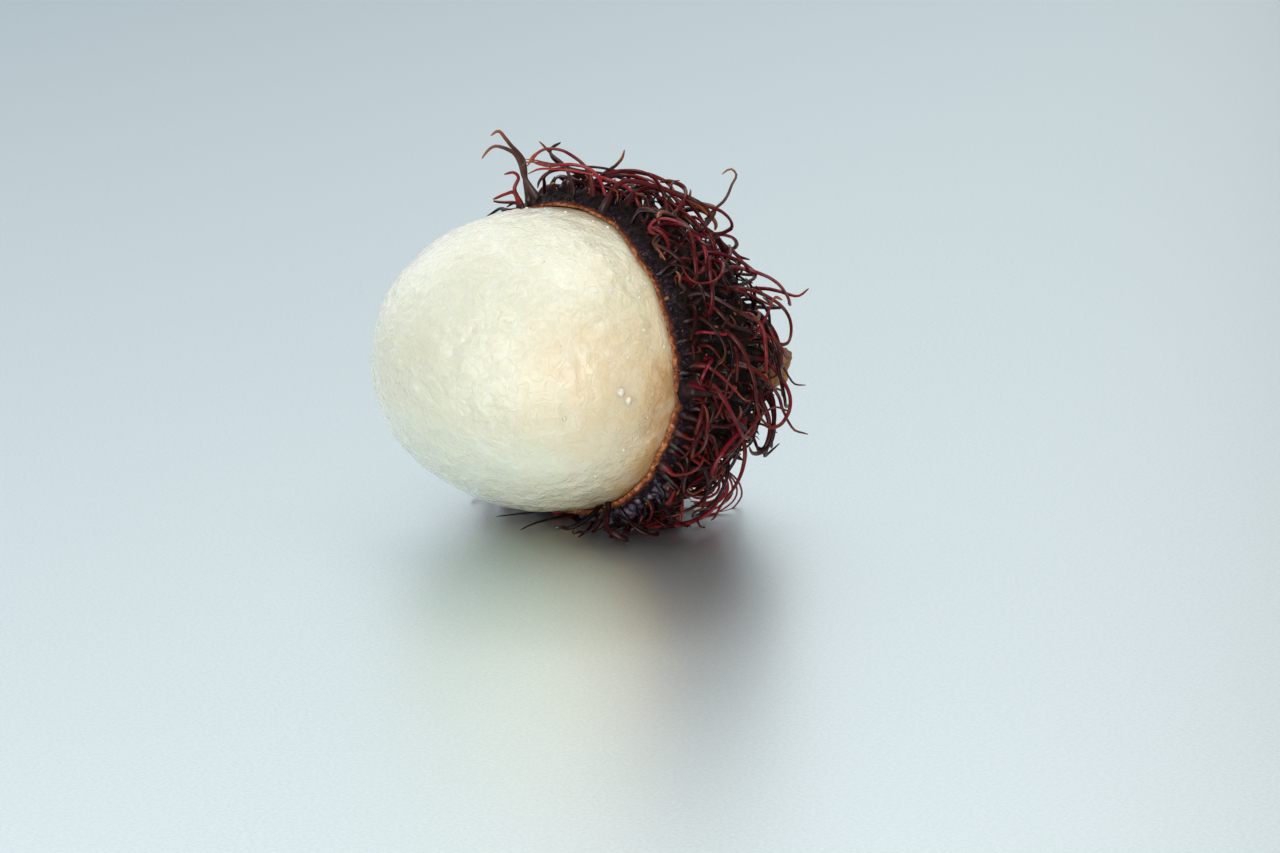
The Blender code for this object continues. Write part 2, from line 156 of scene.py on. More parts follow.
FAN = (
    ((18.9, -3.0, -9.9), (21.0, -3.5, -10.7), (22.4, -4.0, -12.0), (22.4, -4.5, -13.6),
     (20.2, -5.5, -14.9), (17.2, -6.0, -15.1)),
    ((17.9, -4.2, -10.9), (20.0, -4.5, -11.0), (21.3, -5.0, -12.1), (21.0, -5.6, -13.4),
     (19.0, -6.6, -14.0), (16.7, -7.2, -13.9)),
    ((17.5, -5.4, -10.2), (19.1, -5.6, -10.1), (19.9, -6.2, -11.2), (19.6, -6.9, -12.5),
     (17.8, -7.6, -13.2), (15.7, -8.0, -12.8)),
)
FAN_SHARES = (-0.7, -0.35, 0.35, 0.65, 1.3, 1.65)

# The room that the wisps, the fan and the stub have to themselves.
WISP_MIDDLE, WISP_CLEARANCE = Vector((-4.8, 9.8, 16.6)), 3.6
FAN_MIDDLE, FAN_CLEARANCE, FAN_ROOM = Vector((20.8, -5.6, -12.6)), 4.6, 4.4
STUB_CLEARANCE = 2.1

# Strands on the ground: where each starts and ends, and how far it bows aside.
FEET = (
    ((0.1, -2.0), (-8.4, -3.6), 0.9),
    ((-2.9, 3.4), (-6.9, 7.6), 0.7),
    ((3.5, 0.5), (9.0, -1.0), 0.6),
    ((-1.4, 1.5), (-9.2, 2.2), -0.8),
    ((0.1, -3.2), (-3.4, -8.4), -0.7),
)
FOOT_HEIGHT = 0.8

# The stub: from the solid's middle to the knob's and to its broken end, the knob's radii and mean one.
STUB_SHIFT, STUB_TIP = Vector((0.8, 0.0, 0.6)), Vector((2.4, 0, 0.6))
STUB_RADII, STUB_MEAN = (2.7, 2.35, 2.35), 2.3
STUB_COLLARS, COLLAR_HEIGHT = 11.0, 0.10

# Mesh fineness.
FLESH_AROUND, FLESH_ALONG = 416, 236
RIND_AROUND, SKIN_RINGS, RIM_RINGS, LINING_RINGS = 360, 112, 8, 46
STUB_AROUND, STUB_ALONG = 72, 40

# Single colours of the finishes.
# The amber is the colour of the glow painted on the flesh.
MILK, PAINTED_GLOW_AMBER = (0.88, 0.88, 0.80), (0.84, 0.66, 0.42)
DULL_BROWN, LIP_BROWN, PITH_BROWN = (0.024, 0.013, 0.012), (0.12, 0.028, 0.010), (0.070, 0.018, 0.012)
RUST, ORANGE_CORK = (0.13, 0.040, 0.014), (0.55, 0.20, 0.03)
ROOT_BLACK, DARK_STREAK, TIP_TAN = (0.012, 0.006, 0.006), (0.030, 0.005, 0.006), (0.30, 0.095, 0.035)

# Floor, camera and light. A softbox has its place from the fruit's middle, size, power and colour.
FLOOR_REACH = 3.0
# The floor's colours near the viewer and far from it: a painted fall of light.
FLOOR_LIT_NEAR, FLOOR_SHADED_FAR = (0.82, 0.89, 0.90), (0.42, 0.51, 0.555)
VIEW_AZIMUTH, VIEW_ELEVATION, VIEW_DISTANCE = -20.0, 14.5, 0.400
LENS, SENSOR_WIDTH = 102.3, 36.0
AIM_RIGHT, AIM_DOWN = 10.3, 7.4
STUDIO_COLOUR, STUDIO_STRENGTH = (0.88, 0.94, 0.96), 0.24
SOFTBOXES = (
    ("key", (0.36, -0.14, 0.98), 0.62, 4.5, (1.0, 0.985, 0.95)),
    ("back", (0.20, 0.55, 0.95), 0.7, 2.0, (1.0, 0.99, 0.97)),
    ("side", (-0.65, 0.78, 0.30), 1.5, 5.0, (0.98, 0.99, 1.0)),
    ("front", (-0.45, -0.95, 0.14), 1.3, 15.3, (1.0, 0.995, 0.98)),
    ("wall", (0.10, 1.70, 0.55), 2.2, 9.6, (0.92, 0.97, 1.0)),
)


# ---------------------------------------------------------------- the fruit's frame

def fruit_frame():
    """From millimetres in the fruit's own frame to metres in the world."""
    low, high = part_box("aril")
    return Matrix.Translation((low + high) / 2) @ Matrix.Rotation(TIP_RISE, 4, "Y") @ Matrix.Scale(MM, 4)


def to_world(points):
    """Fruit-frame points as an (n, 3) array, in the world, in metres."""
    turn = np.array(FRUIT.to_3x3())
    return points @ turn.T + np.array(FRUIT.translation)


def mouth_normal():
    """The way the mouth faces: away from the stem, turned to the viewer and a little down."""
    level = Vector((-math.cos(MOUTH_TURN), -math.sin(MOUTH_TURN), 0))
    return (level * math.cos(MOUTH_RISE) + Vector((0, 0, math.sin(MOUTH_RISE)))).normalized()


def mouth_axes():
    """The two directions across the mouth."""
    facing = mouth_normal()
    across = facing.cross(Vector((0, 0, 1))).normalized()
    return across, across.cross(facing)


def torn_wander(angle):
    """How far the torn edge stands out along the mouth's facing, at each angle round it."""
    waves = ((3, 0.4, 0.45), (5, 2.1, 0.3), (9, 1.0, 0.3), (14, 3.0, 0.22), (23, 0.7, 0.14))
    return TORN_WANDER * sum(size * np.sin(count * angle + phase) for count, phase, size in waves)


def past_mouth(points):
    """How far points, an (n, 3) array, lie outside the torn edge, along the way the mouth faces."""
    across, up = mouth_axes()
    offset = points - np.array((MOUTH_CENTRE, 0, 0))
    angle = np.arctan2(offset @ np.array(up), offset @ np.array(across))
    return offset @ np.array(mouth_normal()) - torn_wander(angle)


def past_mouth_at(point):
    """How far one point lies outside the torn edge."""
    return float(past_mouth(np.array([point]))[0])


def skin_normal(point):
    squared = [r * r for r in SKIN_RADII]
    return Vector([c / s for c, s in zip(point, squared)]).normalized()


def normals_of(points, radii):
    """The outward directions of an ellipsoid at points, an (n, 3) array."""
    normals = points / np.array(radii) ** 2
    return normals / np.linalg.norm(normals, axis=1, keepdims=True)


def height_over(point, radii):
    """About how far a point lies outside an ellipsoid, negative inside it."""
    share = Vector([c / r for c, r in zip(point, radii)]).length
    slope = Vector([c / (r * r) for c, r in zip(point, radii)]).length / share
    return (share - 1) / slope


def tangent(direction, normal):
    """The part of a direction that lies in the surface."""
    return direction - normal * direction.dot(normal)


# ---------------------------------------------------------------- noise on points

def cloud(points, size, seed=0.0, octaves=3):
    """Smooth noise about 0 at each point, with features of this size in millimetres."""
    shift = Vector((seed * 7.3, seed * 3.1, seed * 5.7))
    return np.array([noise.fractal(Vector(p) / size + shift, 1.0, 2.0, octaves) for p in points])


def crease(points, size, seed=0.0):
    """0 in most places, rising to 1 along thin creases."""
    shift = Vector((seed * 2.7, seed * 9.1, seed * 4.3))
    value = np.array([noise.noise(Vector(p) / size + shift) for p in points])
    return np.clip(1 - np.abs(value) * 5, 0, 1) ** 2


def cells(points, size, seed=0.0):
    """Distance into cells of this size: 0 on their borders, growing to their middles."""
    shift = Vector((seed * 1.7, seed * 6.1, seed * 8.3))
    found = [noise.voronoi(Vector(p) / size + shift)[0] for p in points]
    return np.array([near[1] - near[0] for near in found])


def smooth_step(values, low, high):
    """0 below low and 1 above high, with a soft slope between."""
    t = np.clip((values - low) / (high - low), 0, 1)
    return t * t * (3 - 2 * t)


# ---------------------------------------------------------------- meshes and pieces

def add_piece(name, mesh, *materials):
    piece = bpy.data.objects.new(name, mesh)
    bpy.context.scene.collection.objects.link(piece)
    for made in materials:
        mesh.materials.append(made)
    return piece


def mesh_of(name, points, faces):
    """A smooth mesh from fruit-frame points."""
    mesh = bpy.data.meshes.new(name)
    mesh.from_pydata(to_world(points).tolist(), [], faces)
    mesh.shade_smooth()
    return mesh


def store(mesh, name, values):
    mesh.attributes.new(name, "FLOAT", "POINT").data.foreach_set("value", values.astype(np.float32))


def read(mesh, name):
    values = np.empty(len(mesh.vertices))
    mesh.attributes[name].data.foreach_get("value", values)
    return values


def world_places(mesh):
    places = np.empty(len(mesh.vertices) * 3)
    mesh.vertices.foreach_get("co", places)
    return places.reshape(-1, 3)


def world_heights(mesh):
    return world_places(mesh)[:, 2]


def flatten_underside(mesh):
    """Presses whatever reaches below the ground flat on it."""
    places = world_places(mesh)
    places[:, 2] = np.maximum(places[:, 2], 0.0)
    mesh.vertices.foreach_set("co", places.ravel())
    mesh.update()


def ring_faces(rings, around, first=0, flip=False):
    """Faces between closed rings of points, one ring after another."""
    faces = []
    for ring in range(rings - 1):
        for number in range(around):
            following = (number + 1) % around
            a = first + ring * around
            quad = (a + number, a + following, a + around + following, a + around + number)
            faces.append(quad[::-1] if flip else quad)
    return faces


def ball_points(around, along):
    """Rings of points over a ball of radius 1, from its pole on x to the other. Each pole is a ring."""
    points = []
    for ring in range(along + 1):
        polar = math.pi * ring / along
        reach = math.sin(polar)
        for number in range(around):
            turn = 2 * math.pi * number / around
            points.append((math.cos(polar), reach * math.cos(turn), reach * math.sin(turn)))
    return points


# ---------------------------------------------------------------- node trees

def socket_id(tree, name):
    """The identifier of a tree's input."""
    return next(
        item.identifier
        for item in tree.interface.items_tree
        if item.item_type == "SOCKET" and item.in_out == "INPUT" and item.name == name
    )


class Tree:
    """A small hand for wiring a node tree."""

    def __init__(self, nodes, links):
        self.nodes, self.links = nodes, links

    def add(self, kind, inputs=None, **settings):
        node = self.nodes.new(kind)
        for name, value in settings.items():
            setattr(node, name, value)
        for name, value in (inputs or {}).items():
            self.feed(node.inputs[name], value)
        return node

    def out(self, kind, inputs=None, **settings):
        """The first output of a new node."""
        return self.add(kind, inputs, **settings).outputs[0]

    def feed(self, socket, value):
        if isinstance(value, bpy.types.NodeSocket):
            self.links.new(value, socket)
        else:
            socket.default_value = value

    def math(self, operation, first, second=0.0, clamp=False):
        inputs = {0: first, 1: second}
        return self.out("ShaderNodeMath", inputs, operation=operation, use_clamp=clamp)

    def times(self, first, second, clamp=False):
        return self.math("MULTIPLY", first, second, clamp)

    def plus(self, first, second, clamp=False):
        return self.math("ADD", first, second, clamp)

    def minus(self, first, second, clamp=False):
        return self.math("SUBTRACT", first, second, clamp)

    def squared(self, value):
        return self.math("POWER", value, 2.0)

    def times_plus(self, first, factor, added):
        return self.out("ShaderNodeMath", {0: first, 1: factor, 2: added}, operation="MULTIPLY_ADD")

    def scaled(self, vector, by):
        return self.out("ShaderNodeVectorMath", {0: vector, "Scale": by}, operation="SCALE")

    def attribute(self, name):
        return self.add("GeometryNodeInputNamedAttribute", {"Name": name}).outputs["Attribute"]


def growth_tree(name, inputs):
    """A Geometry Nodes tree with a geometry in and out and these named inputs, as sockets by name."""
    tree = bpy.data.node_groups.new(name, "GeometryNodeTree")
    tree.interface.new_socket("Geometry", in_out="INPUT", socket_type="NodeSocketGeometry")
    for label, kind, value in inputs:
        tree.interface.new_socket(label, in_out="INPUT", socket_type=kind).default_value = value
    tree.interface.new_socket("Geometry", in_out="OUTPUT", socket_type="NodeSocketGeometry")
    hand = Tree(tree.nodes, tree.links)
    return tree, hand, hand.add("NodeGroupInput").outputs


def close_tree(hand, geometry, material):
    """Ends a tree in Realize Instances and Set Material."""
    whole = hand.out("GeometryNodeRealizeInstances", {"Geometry": geometry})
    painted = hand.out("GeometryNodeSetMaterial", {"Geometry": whole, "Material": material})
    hand.add("NodeGroupOutput", {"Geometry": painted})


def grown(name, source, tree, values):
    """The plain mesh that a tree grows from a source object, as a new piece. The source is removed."""
    modifier = source.modifiers.new(tree.name, "NODES")
    modifier.node_group = tree
    for label, value in values.items():
        modifier[socket_id(tree, label)] = value
    graph = bpy.context.evaluated_depsgraph_get()
    mesh = bpy.data.meshes.new_from_object(source.evaluated_get(graph))
    mesh.name = name
    source.modifiers.clear()
    bpy.data.objects.remove(source)
    return add_piece(name, mesh)


def scatter_tree(name, shape, material, smooth):
    """Scatters a small shape over a source mesh, thickest where its sow attribute is 1."""
    tree, hand, given = growth_tree(
        name,
        (
            ("Density", "NodeSocketFloat", 1000.0),
            ("Smallest", "NodeSocketFloat", 0.1 * MM),
            ("Largest", "NodeSocketFloat", 0.3 * MM),
            ("Tilt", "NodeSocketFloat", 0.5),
            ("Seed", "NodeSocketInt", 1),
        ),
    )
    seed = given["Seed"]
    density = hand.times(given["Density"], hand.attribute("sow"))
    spots = hand.add(
        "GeometryNodeDistributePointsOnFaces",
        {"Mesh": given["Geometry"], "Density": density, "Seed": seed},
    )
    size = hand.add(
        "FunctionNodeRandomValue",
        {2: given["Smallest"], 3: given["Largest"], "Seed": seed},
        data_type="FLOAT",
    ).outputs[1]
    lean = hand.out(
        "FunctionNodeRandomValue", {0: (-1, -1, -3), 1: (1, 1, 3), "Seed": seed}, data_type="FLOAT_VECTOR"
    )
    turned = hand.out(
        "FunctionNodeRotateRotation",
        {"Rotation": spots.outputs["Rotation"], "Rotate By": hand.scaled(lean, given["Tilt"])},
        rotation_space="LOCAL",
    )
    laid = hand.out(
        "GeometryNodeInstanceOnPoints",
        {"Points": spots.outputs["Points"], "Instance": shape(hand), "Rotation": turned, "Scale": size},
    )
    laid = hand.out("GeometryNodeSetShadeSmooth", {"Geometry": laid, "Shade Smooth": smooth})
    close_tree(hand, laid, material)
    return tree


def cone(sides, base):
    """Makes a slim cone, one unit high, that stands on its base a little sunk."""
    sizes = {"Vertices": sides, "Side Segments": 2, "Radius Top": 0.02, "Radius Bottom": base, "Depth": 1.0}

    def shape(hand):
        upright = hand.out("GeometryNodeMeshCone", sizes)
        return hand.out("GeometryNodeTransform", {"Geometry": upright, "Translation": (0, 0, -0.15)})

    return shape


def pebble(radius, squash):
    """Makes a squashed ball."""
    def shape(hand):
        ball = hand.out("GeometryNodeMeshIcoSphere", {"Radius": radius, "Subdivisions": 2})
        return hand.out("GeometryNodeTransform", {"Geometry": ball, "Scale": squash})

    return shape


def sown(ground, name, sow, shape, material, smooth=True, flatten=False, **sizes):
    """A piece of small shapes that grow on the flesh or the rind, thickest where sow is most."""
    source = add_piece("source", ground.data.copy())
    store(source.data, "sow", sow)
    piece = grown(name, source, scatter_tree(name, shape, material, smooth), sizes)
    if flatten:
        flatten_underside(piece.data)
    return piece


# ---------------------------------------------------------------- strands

class Strand(NamedTuple):
    """A strand's course, its girth and root flare as shares of full ones, its tint, and its brightness:
    partly its own tone, partly painted light and shade.
    """

    course: list
    girth: float
    flare: float
    tint: float
    tone_and_painted_light: float


def spiral_sites(count, start, from_rim):
    """Where strands root: a golden-angle spiral over the skin, from the stem pole to the rim."""
    golden = math.pi * (3 - math.sqrt(5))
    sites = []
    for number in range(count):
        along = 1 - 2 * (number + 0.5) / count
        ring = math.sqrt(1 - along * along)
        turn = number * golden + start
        on_ball = Vector((along, ring * math.cos(turn), ring * math.sin(turn)))
        site = Vector([c * r for c, r in zip(on_ball, SKIN_RADII)])
        from_stem = math.hypot(site.y, site.z)
        if past_mouth_at(site) < -from_rim and (from_stem > STUB_MARGIN or site.x < 0):
            sites.append(site)
    return sites


def keep_clear(point):
    """A strand's point, moved out of the skin, the flesh and the ground."""
    off_skin = height_over(point, SKIN_RADII)
    if off_skin < SKIN_CLEARANCE and past_mouth_at(point) < 0:
        point = point + skin_normal(point) * (SKIN_CLEARANCE - off_skin)
    off_flesh = height_over(point, FLESH_RADII)
    if off_flesh < FLESH_CLEARANCE:
        point = point + skin_normal(point) * (FLESH_CLEARANCE - off_flesh)
    world = FRUIT @ point
    world.z = max(world.z, GROUND_CLEARANCE * MM)
    return GROUND @ world


def loose_direction(rng):
    """A random direction, not of length 1."""
    return Vector([rng.gauss(0, 1) for _ in range(3)])


def downwards():
    return (GROUND.to_3x3() @ Vector((0, 0, -1))).normalized()


def on_ground(spot, height):
    """A place over the ground, as a point in the fruit's frame."""
    return GROUND @ Vector((spot.x * MM, spot.y * MM, height * MM))


def strand_path(root, heading, length, crest, peak, sway, hook, roll):
    """A strand's course: up from its root, over the skin along its heading, and hooked at the tip."""
    normal = skin_normal(root)
    direction = (normal + heading * LEAN_OUT).normalized()
    point = root + normal * FIRST_RISE
    path = [root - normal * ROOT_SINK, point]
    step = length / SPINE_STEPS
    for number in range(SPINE_STEPS):
        share = (number + 1) / SPINE_STEPS
        point = point + direction * step
        normal = skin_normal(point)
        axis = normal * math.cos(roll) + direction.cross(normal).normalized() * math.sin(roll)
        turned = Matrix.Rotation((sway + hook * share ** 3) * step, 3, axis) @ direction
        wanted = crest * math.sin(math.pi / 2 * min(1.0, share / peak))
        if share > peak:
            wanted *= 1 - SINK_BACK * (share - peak) / (1 - peak)
        rise = (wanted - height_over(point, SKIN_RADII)) / (RETURN_STEPS * step)
        aim = tangent(turned, normal).normalized() + normal * max(-STEEPEST, min(STEEPEST, rise))
        hold = SKIN_HOLD * (1 - share * share * abs(math.sin(roll)))
        direction = turned.lerp(aim.normalized(), hold).normalized()
        point = keep_clear(point)
        path.append(point)
    return path


def main_strand(root, rng):
    """One of the solids' strands, which lie over each other and droop down the rind."""
    normal = skin_normal(root)
    loose = loose_direction(rng).normalized()
    along = Vector((rng.choice((-1.0, 1.0, 1.0)), 0, 0))
    heading = tangent(downwards() * 0.9 + along * 0.5 + loose * 0.9, normal).normalized()
    over_rim = heading.dot(mouth_normal()) * max(0.0, 1 + past_mouth_at(root) / 16)
    heading = tangent(heading - mouth_normal() * 2 * max(0.0, over_rim), normal).normalized()
    length = rng.uniform(*SPINE_LENGTH)
    crest = rng.triangular(1.6, 6.0, 3.0)
    sway = rng.uniform(-0.09, 0.09)
    hook = math.copysign(rng.uniform(0.15, 1.0), sway)
    roll = rng.choice((0.0, 0.0, 0.5, -0.5, 1.4, -1.4))
    return strand_path(root, heading, length, crest, MAIN_PEAK, sway, hook, roll)


def tangle_strand(root, rng, lengths, crests, hooks, clearance=EDGE_CLEARANCE, shy=1.0):
    """A finer strand that lies any way over the rind, but stays behind the torn edge."""
    normal = skin_normal(root)
    heading = tangent(downwards() * 0.35 + loose_direction(rng).normalized(), normal).normalized()
    to_mouth = max(0.0, heading.dot(mouth_normal())) * smooth_step(past_mouth_at(root), -9.0, -3.0)
    heading = tangent(heading - mouth_normal() * float(to_mouth) * shy, normal).normalized()
    sway = rng.uniform(-0.10, 0.10)
    hook = math.copysign(rng.uniform(*hooks), sway)
    roll = rng.choice((0.0, 0.0, 0.0, 0.5, -0.5, 1.4, -1.4))
    peak = rng.uniform(0.3, 0.6)
    path = strand_path(root, heading, rng.uniform(*lengths), rng.triangular(*crests), peak, sway, hook, roll)
    over = np.maximum(0, past_mouth(np.array(path)) + clearance)
    return [point - mouth_normal() * float(past) for point, past in zip(path, over)]


def laid_strand(points):
    """A strand through listed points, rooted in the skin."""
    points = [Vector(point) for point in points]
    return [points[0] - skin_normal(points[0]) * ROOT_SINK, *points]


def fan_strand(share):
    """A strand between or beside the fan's own, at this share from its first to its last."""
    first, last = FAN[0], FAN[-1]
    return laid_strand([Vector(a).lerp(Vector(b), share) for a, b in zip(first, last)])


def foot_strand(start, end, sway):
    """A strand on the ground: it leaves the rim's underside and curves to its end."""
    start, end = Vector((*start, 0)), Vector((*end, 0))
    aside = (end - start).cross(Vector((0, 0, 1))).normalized()
    path = []
    for number in range(SPINE_STEPS + 1):
        share = number / SPINE_STEPS
        spot = start.lerp(end, share) + aside * sway * math.sin(math.pi * share)
        path.append(on_ground(spot, FOOT_HEIGHT - 0.45 * share ** 3))
    return path


def ground_curl(rng):
    """A curl that hangs from the rim's underside and lies on the ground in front of it."""
    spot = Vector((rng.uniform(-1.0, 7.0), rng.uniform(-10.5, -5.0), 0))
    turn, bend = rng.uniform(-2.6, -0.5), rng.choice((-1, 1)) * rng.uniform(0.35, 0.85)
    length, high = rng.uniform(4.0, 9.0), rng.uniform(1.5, 4.5)
    path = []
    for number in range(SPINE_STEPS + 1):
        share = number / SPINE_STEPS
        path.append(on_ground(spot, FOOT_HEIGHT * 0.6 + high * (1 - share) ** 2 + rng.uniform(0.0, 0.3)))
        spot += Vector((math.cos(turn), math.sin(turn), 0)) * length / SPINE_STEPS
        turn += bend * (0.5 + share)
    return path


def in_clearing(path):
    """Whether a course passes a place that stays in the open, such as the stub's end."""
    return any((point - spot).length < reach for point in path for spot, reach in CLEARINGS)


def near_fan(path):
    """Whether a strand would lie over the fan of fine arcs at the low side."""
    return sum((point - FAN_MIDDLE).length < FAN_ROOM for point in path) > 1


def thinned(site, rng, most):
    """Whether a strand is left out of the patch where the dark skin shows, up to this share of them."""
    inside = 1 - (site - OPEN_PATCH).length / OPEN_REACH
    return rng.random() < most * min(1.0, max(0.0, inside) * 2.5)


def claw_paths():
    """Thick dark claws, leathery broken roots that curve up from the skin."""
    rng = random.Random(CLAW_SEED)
    claws = []
    for site in spiral_sites(CLAW_SITES, start=0.5, from_rim=1.4):
        normal = skin_normal(site)
        lean = tangent(loose_direction(rng) - mouth_normal() * 0.6, normal).normalized()
        length, bend = rng.uniform(*CLAW_LENGTH), rng.uniform(0.1, 0.8)
        path = [site - normal * ROOT_SINK]
        for share in (0.05, 0.35, 0.7, 1.0):
            path.append(keep_clear(site + normal * length * share + lean * length * bend * share ** 2))
        claws.append(Strand(path, rng.uniform(0.7, 1.5), 1.0, rng.random(), 1.0))
    return claws


def strand_paths():
    """The solids' strands, the listed ones, and finer ones between them."""
    rng = random.Random(SPINE_SEED)
    strands = []
    for number, site in enumerate(spiral_sites(SPINE_SITES, start=0.0, from_rim=RIM_MARGIN)):
        path = main_strand(site, random.Random(SPINE_SEED + number))
        tone_and_painted_light = rng.uniform(0.35, 1.1) * (1 + 0.6 * noise.noise(site / TUFT_SIZE))
        strands.append(Strand(path, girth=1.0, flare=1.0, tint=rng.random(), tone_and_painted_light=tone_and_painted_light))
    for points in STANDING:
        strands.append(Strand(laid_strand(points), girth=0.85, flare=0.4, tint=1.0, tone_and_painted_light=1.1))
    # The crown's strands are brightened, as painted light on the top of the rind.
    for points in CROWN:
        tint = rng.uniform(0.3, 0.9)
        strands.append(Strand(laid_strand(points), girth=0.85, flare=0.45, tint=tint, tone_and_painted_light=2.2))
    for points in LEANING:
        strands.append(Strand(laid_strand(points), girth=0.75, flare=0.2, tint=0.92, tone_and_painted_light=0.8))
    for points in WISPS:
        strands.append(Strand(laid_strand(points), girth=0.7, flare=0.3, tint=0.5, tone_and_painted_light=1.3))
    strands = [one for one in strands if not near_fan(one.course)]
    for points in FAN:
        tint = rng.uniform(0.0, 0.4)
        strands.append(Strand(laid_strand(points), girth=0.66, flare=0.6, tint=tint, tone_and_painted_light=1.9))
    for share in FAN_SHARES:
        tint, tone_and_painted_light = rng.uniform(0.0, 0.4), rng.uniform(1.5, 2.1)
        strands.append(Strand(fan_strand(share), girth=0.56, flare=0.5, tint=tint, tone_and_painted_light=tone_and_painted_light))
    # The strands on the ground are darkened, as painted shade under the flesh.
    for foot in FEET:
        strands.append(Strand(foot_strand(*foot), girth=0.55, flare=0.0, tint=0.7, tone_and_painted_light=0.15))
    for number, site in enumerate(spiral_sites(FINE_SITES, start=1.1, from_rim=RIM_MARGIN - 0.2)):
        own = random.Random(FINE_SEED + number)
        path = tangle_strand(site, own, FINE_LENGTH, crests=(1.4, 5.4, 3.0), hooks=(0.4, 1.5))
        tuft = noise.noise(site / TUFT_SIZE) + own.uniform(-0.25, 0.25)
        if tuft > -0.1 and not in_clearing(path) and not thinned(site, own, 0.75):
            tone_and_painted_light = own.triangular(0.12, 1.6, 0.45) * (1 + max(0.0, tuft))
            strands.append(Strand(path, own.uniform(0.72, 1.05), 0.8, own.random(), tone_and_painted_light))
    return strands


def mat_paths():
    """Short curled strands close to the skin, a fringe behind the rim, and curls on the ground."""
    strands = []
    for number, site in enumerate(spiral_sites(MAT_SITES, start=2.3, from_rim=RIM_MARGIN - 0.5)):
        own = random.Random(MAT_SEED + number)
        path = tangle_strand(site, own, MAT_LENGTH, crests=(0.7, 3.4, 1.4), hooks=(0.8, 2.4))
        if not in_clearing(path) and not thinned(site, own, 0.6):
            # The mats close to the skin are darkened, as painted shade.
            girth, tint, tone_and_painted_light = own.uniform(0.5, 0.9), own.random(), own.triangular(0.03, 0.7, 0.08)
            strands.append(Strand(path, girth, 0.7, tint, tone_and_painted_light))
    nearest, farthest = FRINGE_START
    for number, site in enumerate(spiral_sites(FRINGE_SITES, start=4.0, from_rim=nearest)):
        own = random.Random(FRINGE_SEED + number)
        start = nearest + (farthest - nearest) * float(smooth_step(site.z, 4.0, 13.0))
        left_out = own.random() < LOW_THINNING and site.z < LOW_SIDE
        if -FRINGE_DEPTH < past_mouth_at(site) < -start and not left_out:
            shy = own.choice((-0.5, 0.2, 0.6))
            path = tangle_strand(
                site, own, FRINGE_LENGTH, crests=(0.8, 3.2, 1.5), hooks=(0.5, 1.8), clearance=0.25, shy=shy
            )
            if not in_clearing(path):
                tone_and_painted_light = own.triangular(0.05, 1.8, 0.5)
                strands.append(Strand(path, own.uniform(0.6, 0.95), 0.9, own.random(), tone_and_painted_light))
    rng = random.Random(GROUND_SEED)
    # The curls on the ground are darkened, as painted shade under the rim.
    for _ in range(GROUND_CURLS):
        path, girth = ground_curl(rng), rng.uniform(0.6, 1.0)
        strands.append(Strand(path, girth, flare=0.0, tint=rng.random(), tone_and_painted_light=rng.uniform(0.06, 0.35)))
    return strands


def strand_tree(material):
    """Sweeps a flattened section along each strand's course: flared at the root, fine at the tip."""
    tree, hand, given = growth_tree(
        "strands",
        (
            ("Rings", "NodeSocketInt", 30),
            ("Sides", "NodeSocketInt", 7),
            ("Root Flare", "NodeSocketFloat", 2.3 * MM),
            ("Blade Width", "NodeSocketFloat", 0.84 * MM),
            ("Tip Width", "NodeSocketFloat", 0.42 * MM),
            ("Flatness", "NodeSocketFloat", 0.62),
            ("Wobble", "NodeSocketFloat", 0.5 * MM),
            ("Wobble Size", "NodeSocketFloat", 420.0),
            ("Seed", "NodeSocketFloat", 5.0),
        ),
    )
    curve = hand.out("GeometryNodeMeshToCurve", {"Mesh": given["Geometry"]})
    curve = hand.out("GeometryNodeCurveSplineType", {"Curve": curve}, spline_type="CATMULL_ROM")
    curve = hand.out("GeometryNodeResampleCurve", {"Curve": curve, "Count": given["Rings"]})
    along = hand.add("GeometryNodeSplineParameter").outputs["Factor"]
    drift = hand.add(
        "ShaderNodeTexNoise",
        {"W": given["Seed"], "Scale": given["Wobble Size"], "Detail": 1.0},
        noise_dimensions="4D",
    ).outputs["Color"]
    centred = hand.out("ShaderNodeVectorMath", {0: drift, 1: (0.5, 0.5, 0.5)}, operation="SUBTRACT")
    moved = hand.scaled(centred, hand.times(along, given["Wobble"]))
    curve = hand.out("GeometryNodeSetPosition", {"Geometry": curve, "Offset": moved})
    for label, value in (("along", along), ("width", strand_width(hand, given, along))):
        curve = hand.out(
            "GeometryNodeStoreNamedAttribute",
            {"Geometry": curve, "Name": label, "Value": value},
            data_type="FLOAT",
            domain="POINT",
        )
    width = hand.attribute("width")
    curve = hand.out("GeometryNodeSetCurveRadius", {"Curve": curve, "Radius": width})
    section = hand.out("GeometryNodeCurvePrimitiveCircle", {"Resolution": given["Sides"], "Radius": 0.5})
    flat = hand.out("ShaderNodeCombineXYZ", {"X": 1.0, "Y": given["Flatness"], "Z": 1.0})
    section = hand.out("GeometryNodeTransform", {"Geometry": section, "Scale": flat})
    swept = hand.add(
        "GeometryNodeCurveToMesh", {"Curve": curve, "Profile Curve": section, "Fill Caps": True}
    )
    if "Scale" in swept.inputs:
        hand.feed(swept.inputs["Scale"], width)
    close_tree(hand, hand.out("GeometryNodeSetShadeSmooth", {"Geometry": swept.outputs[0]}), material)
    return tree


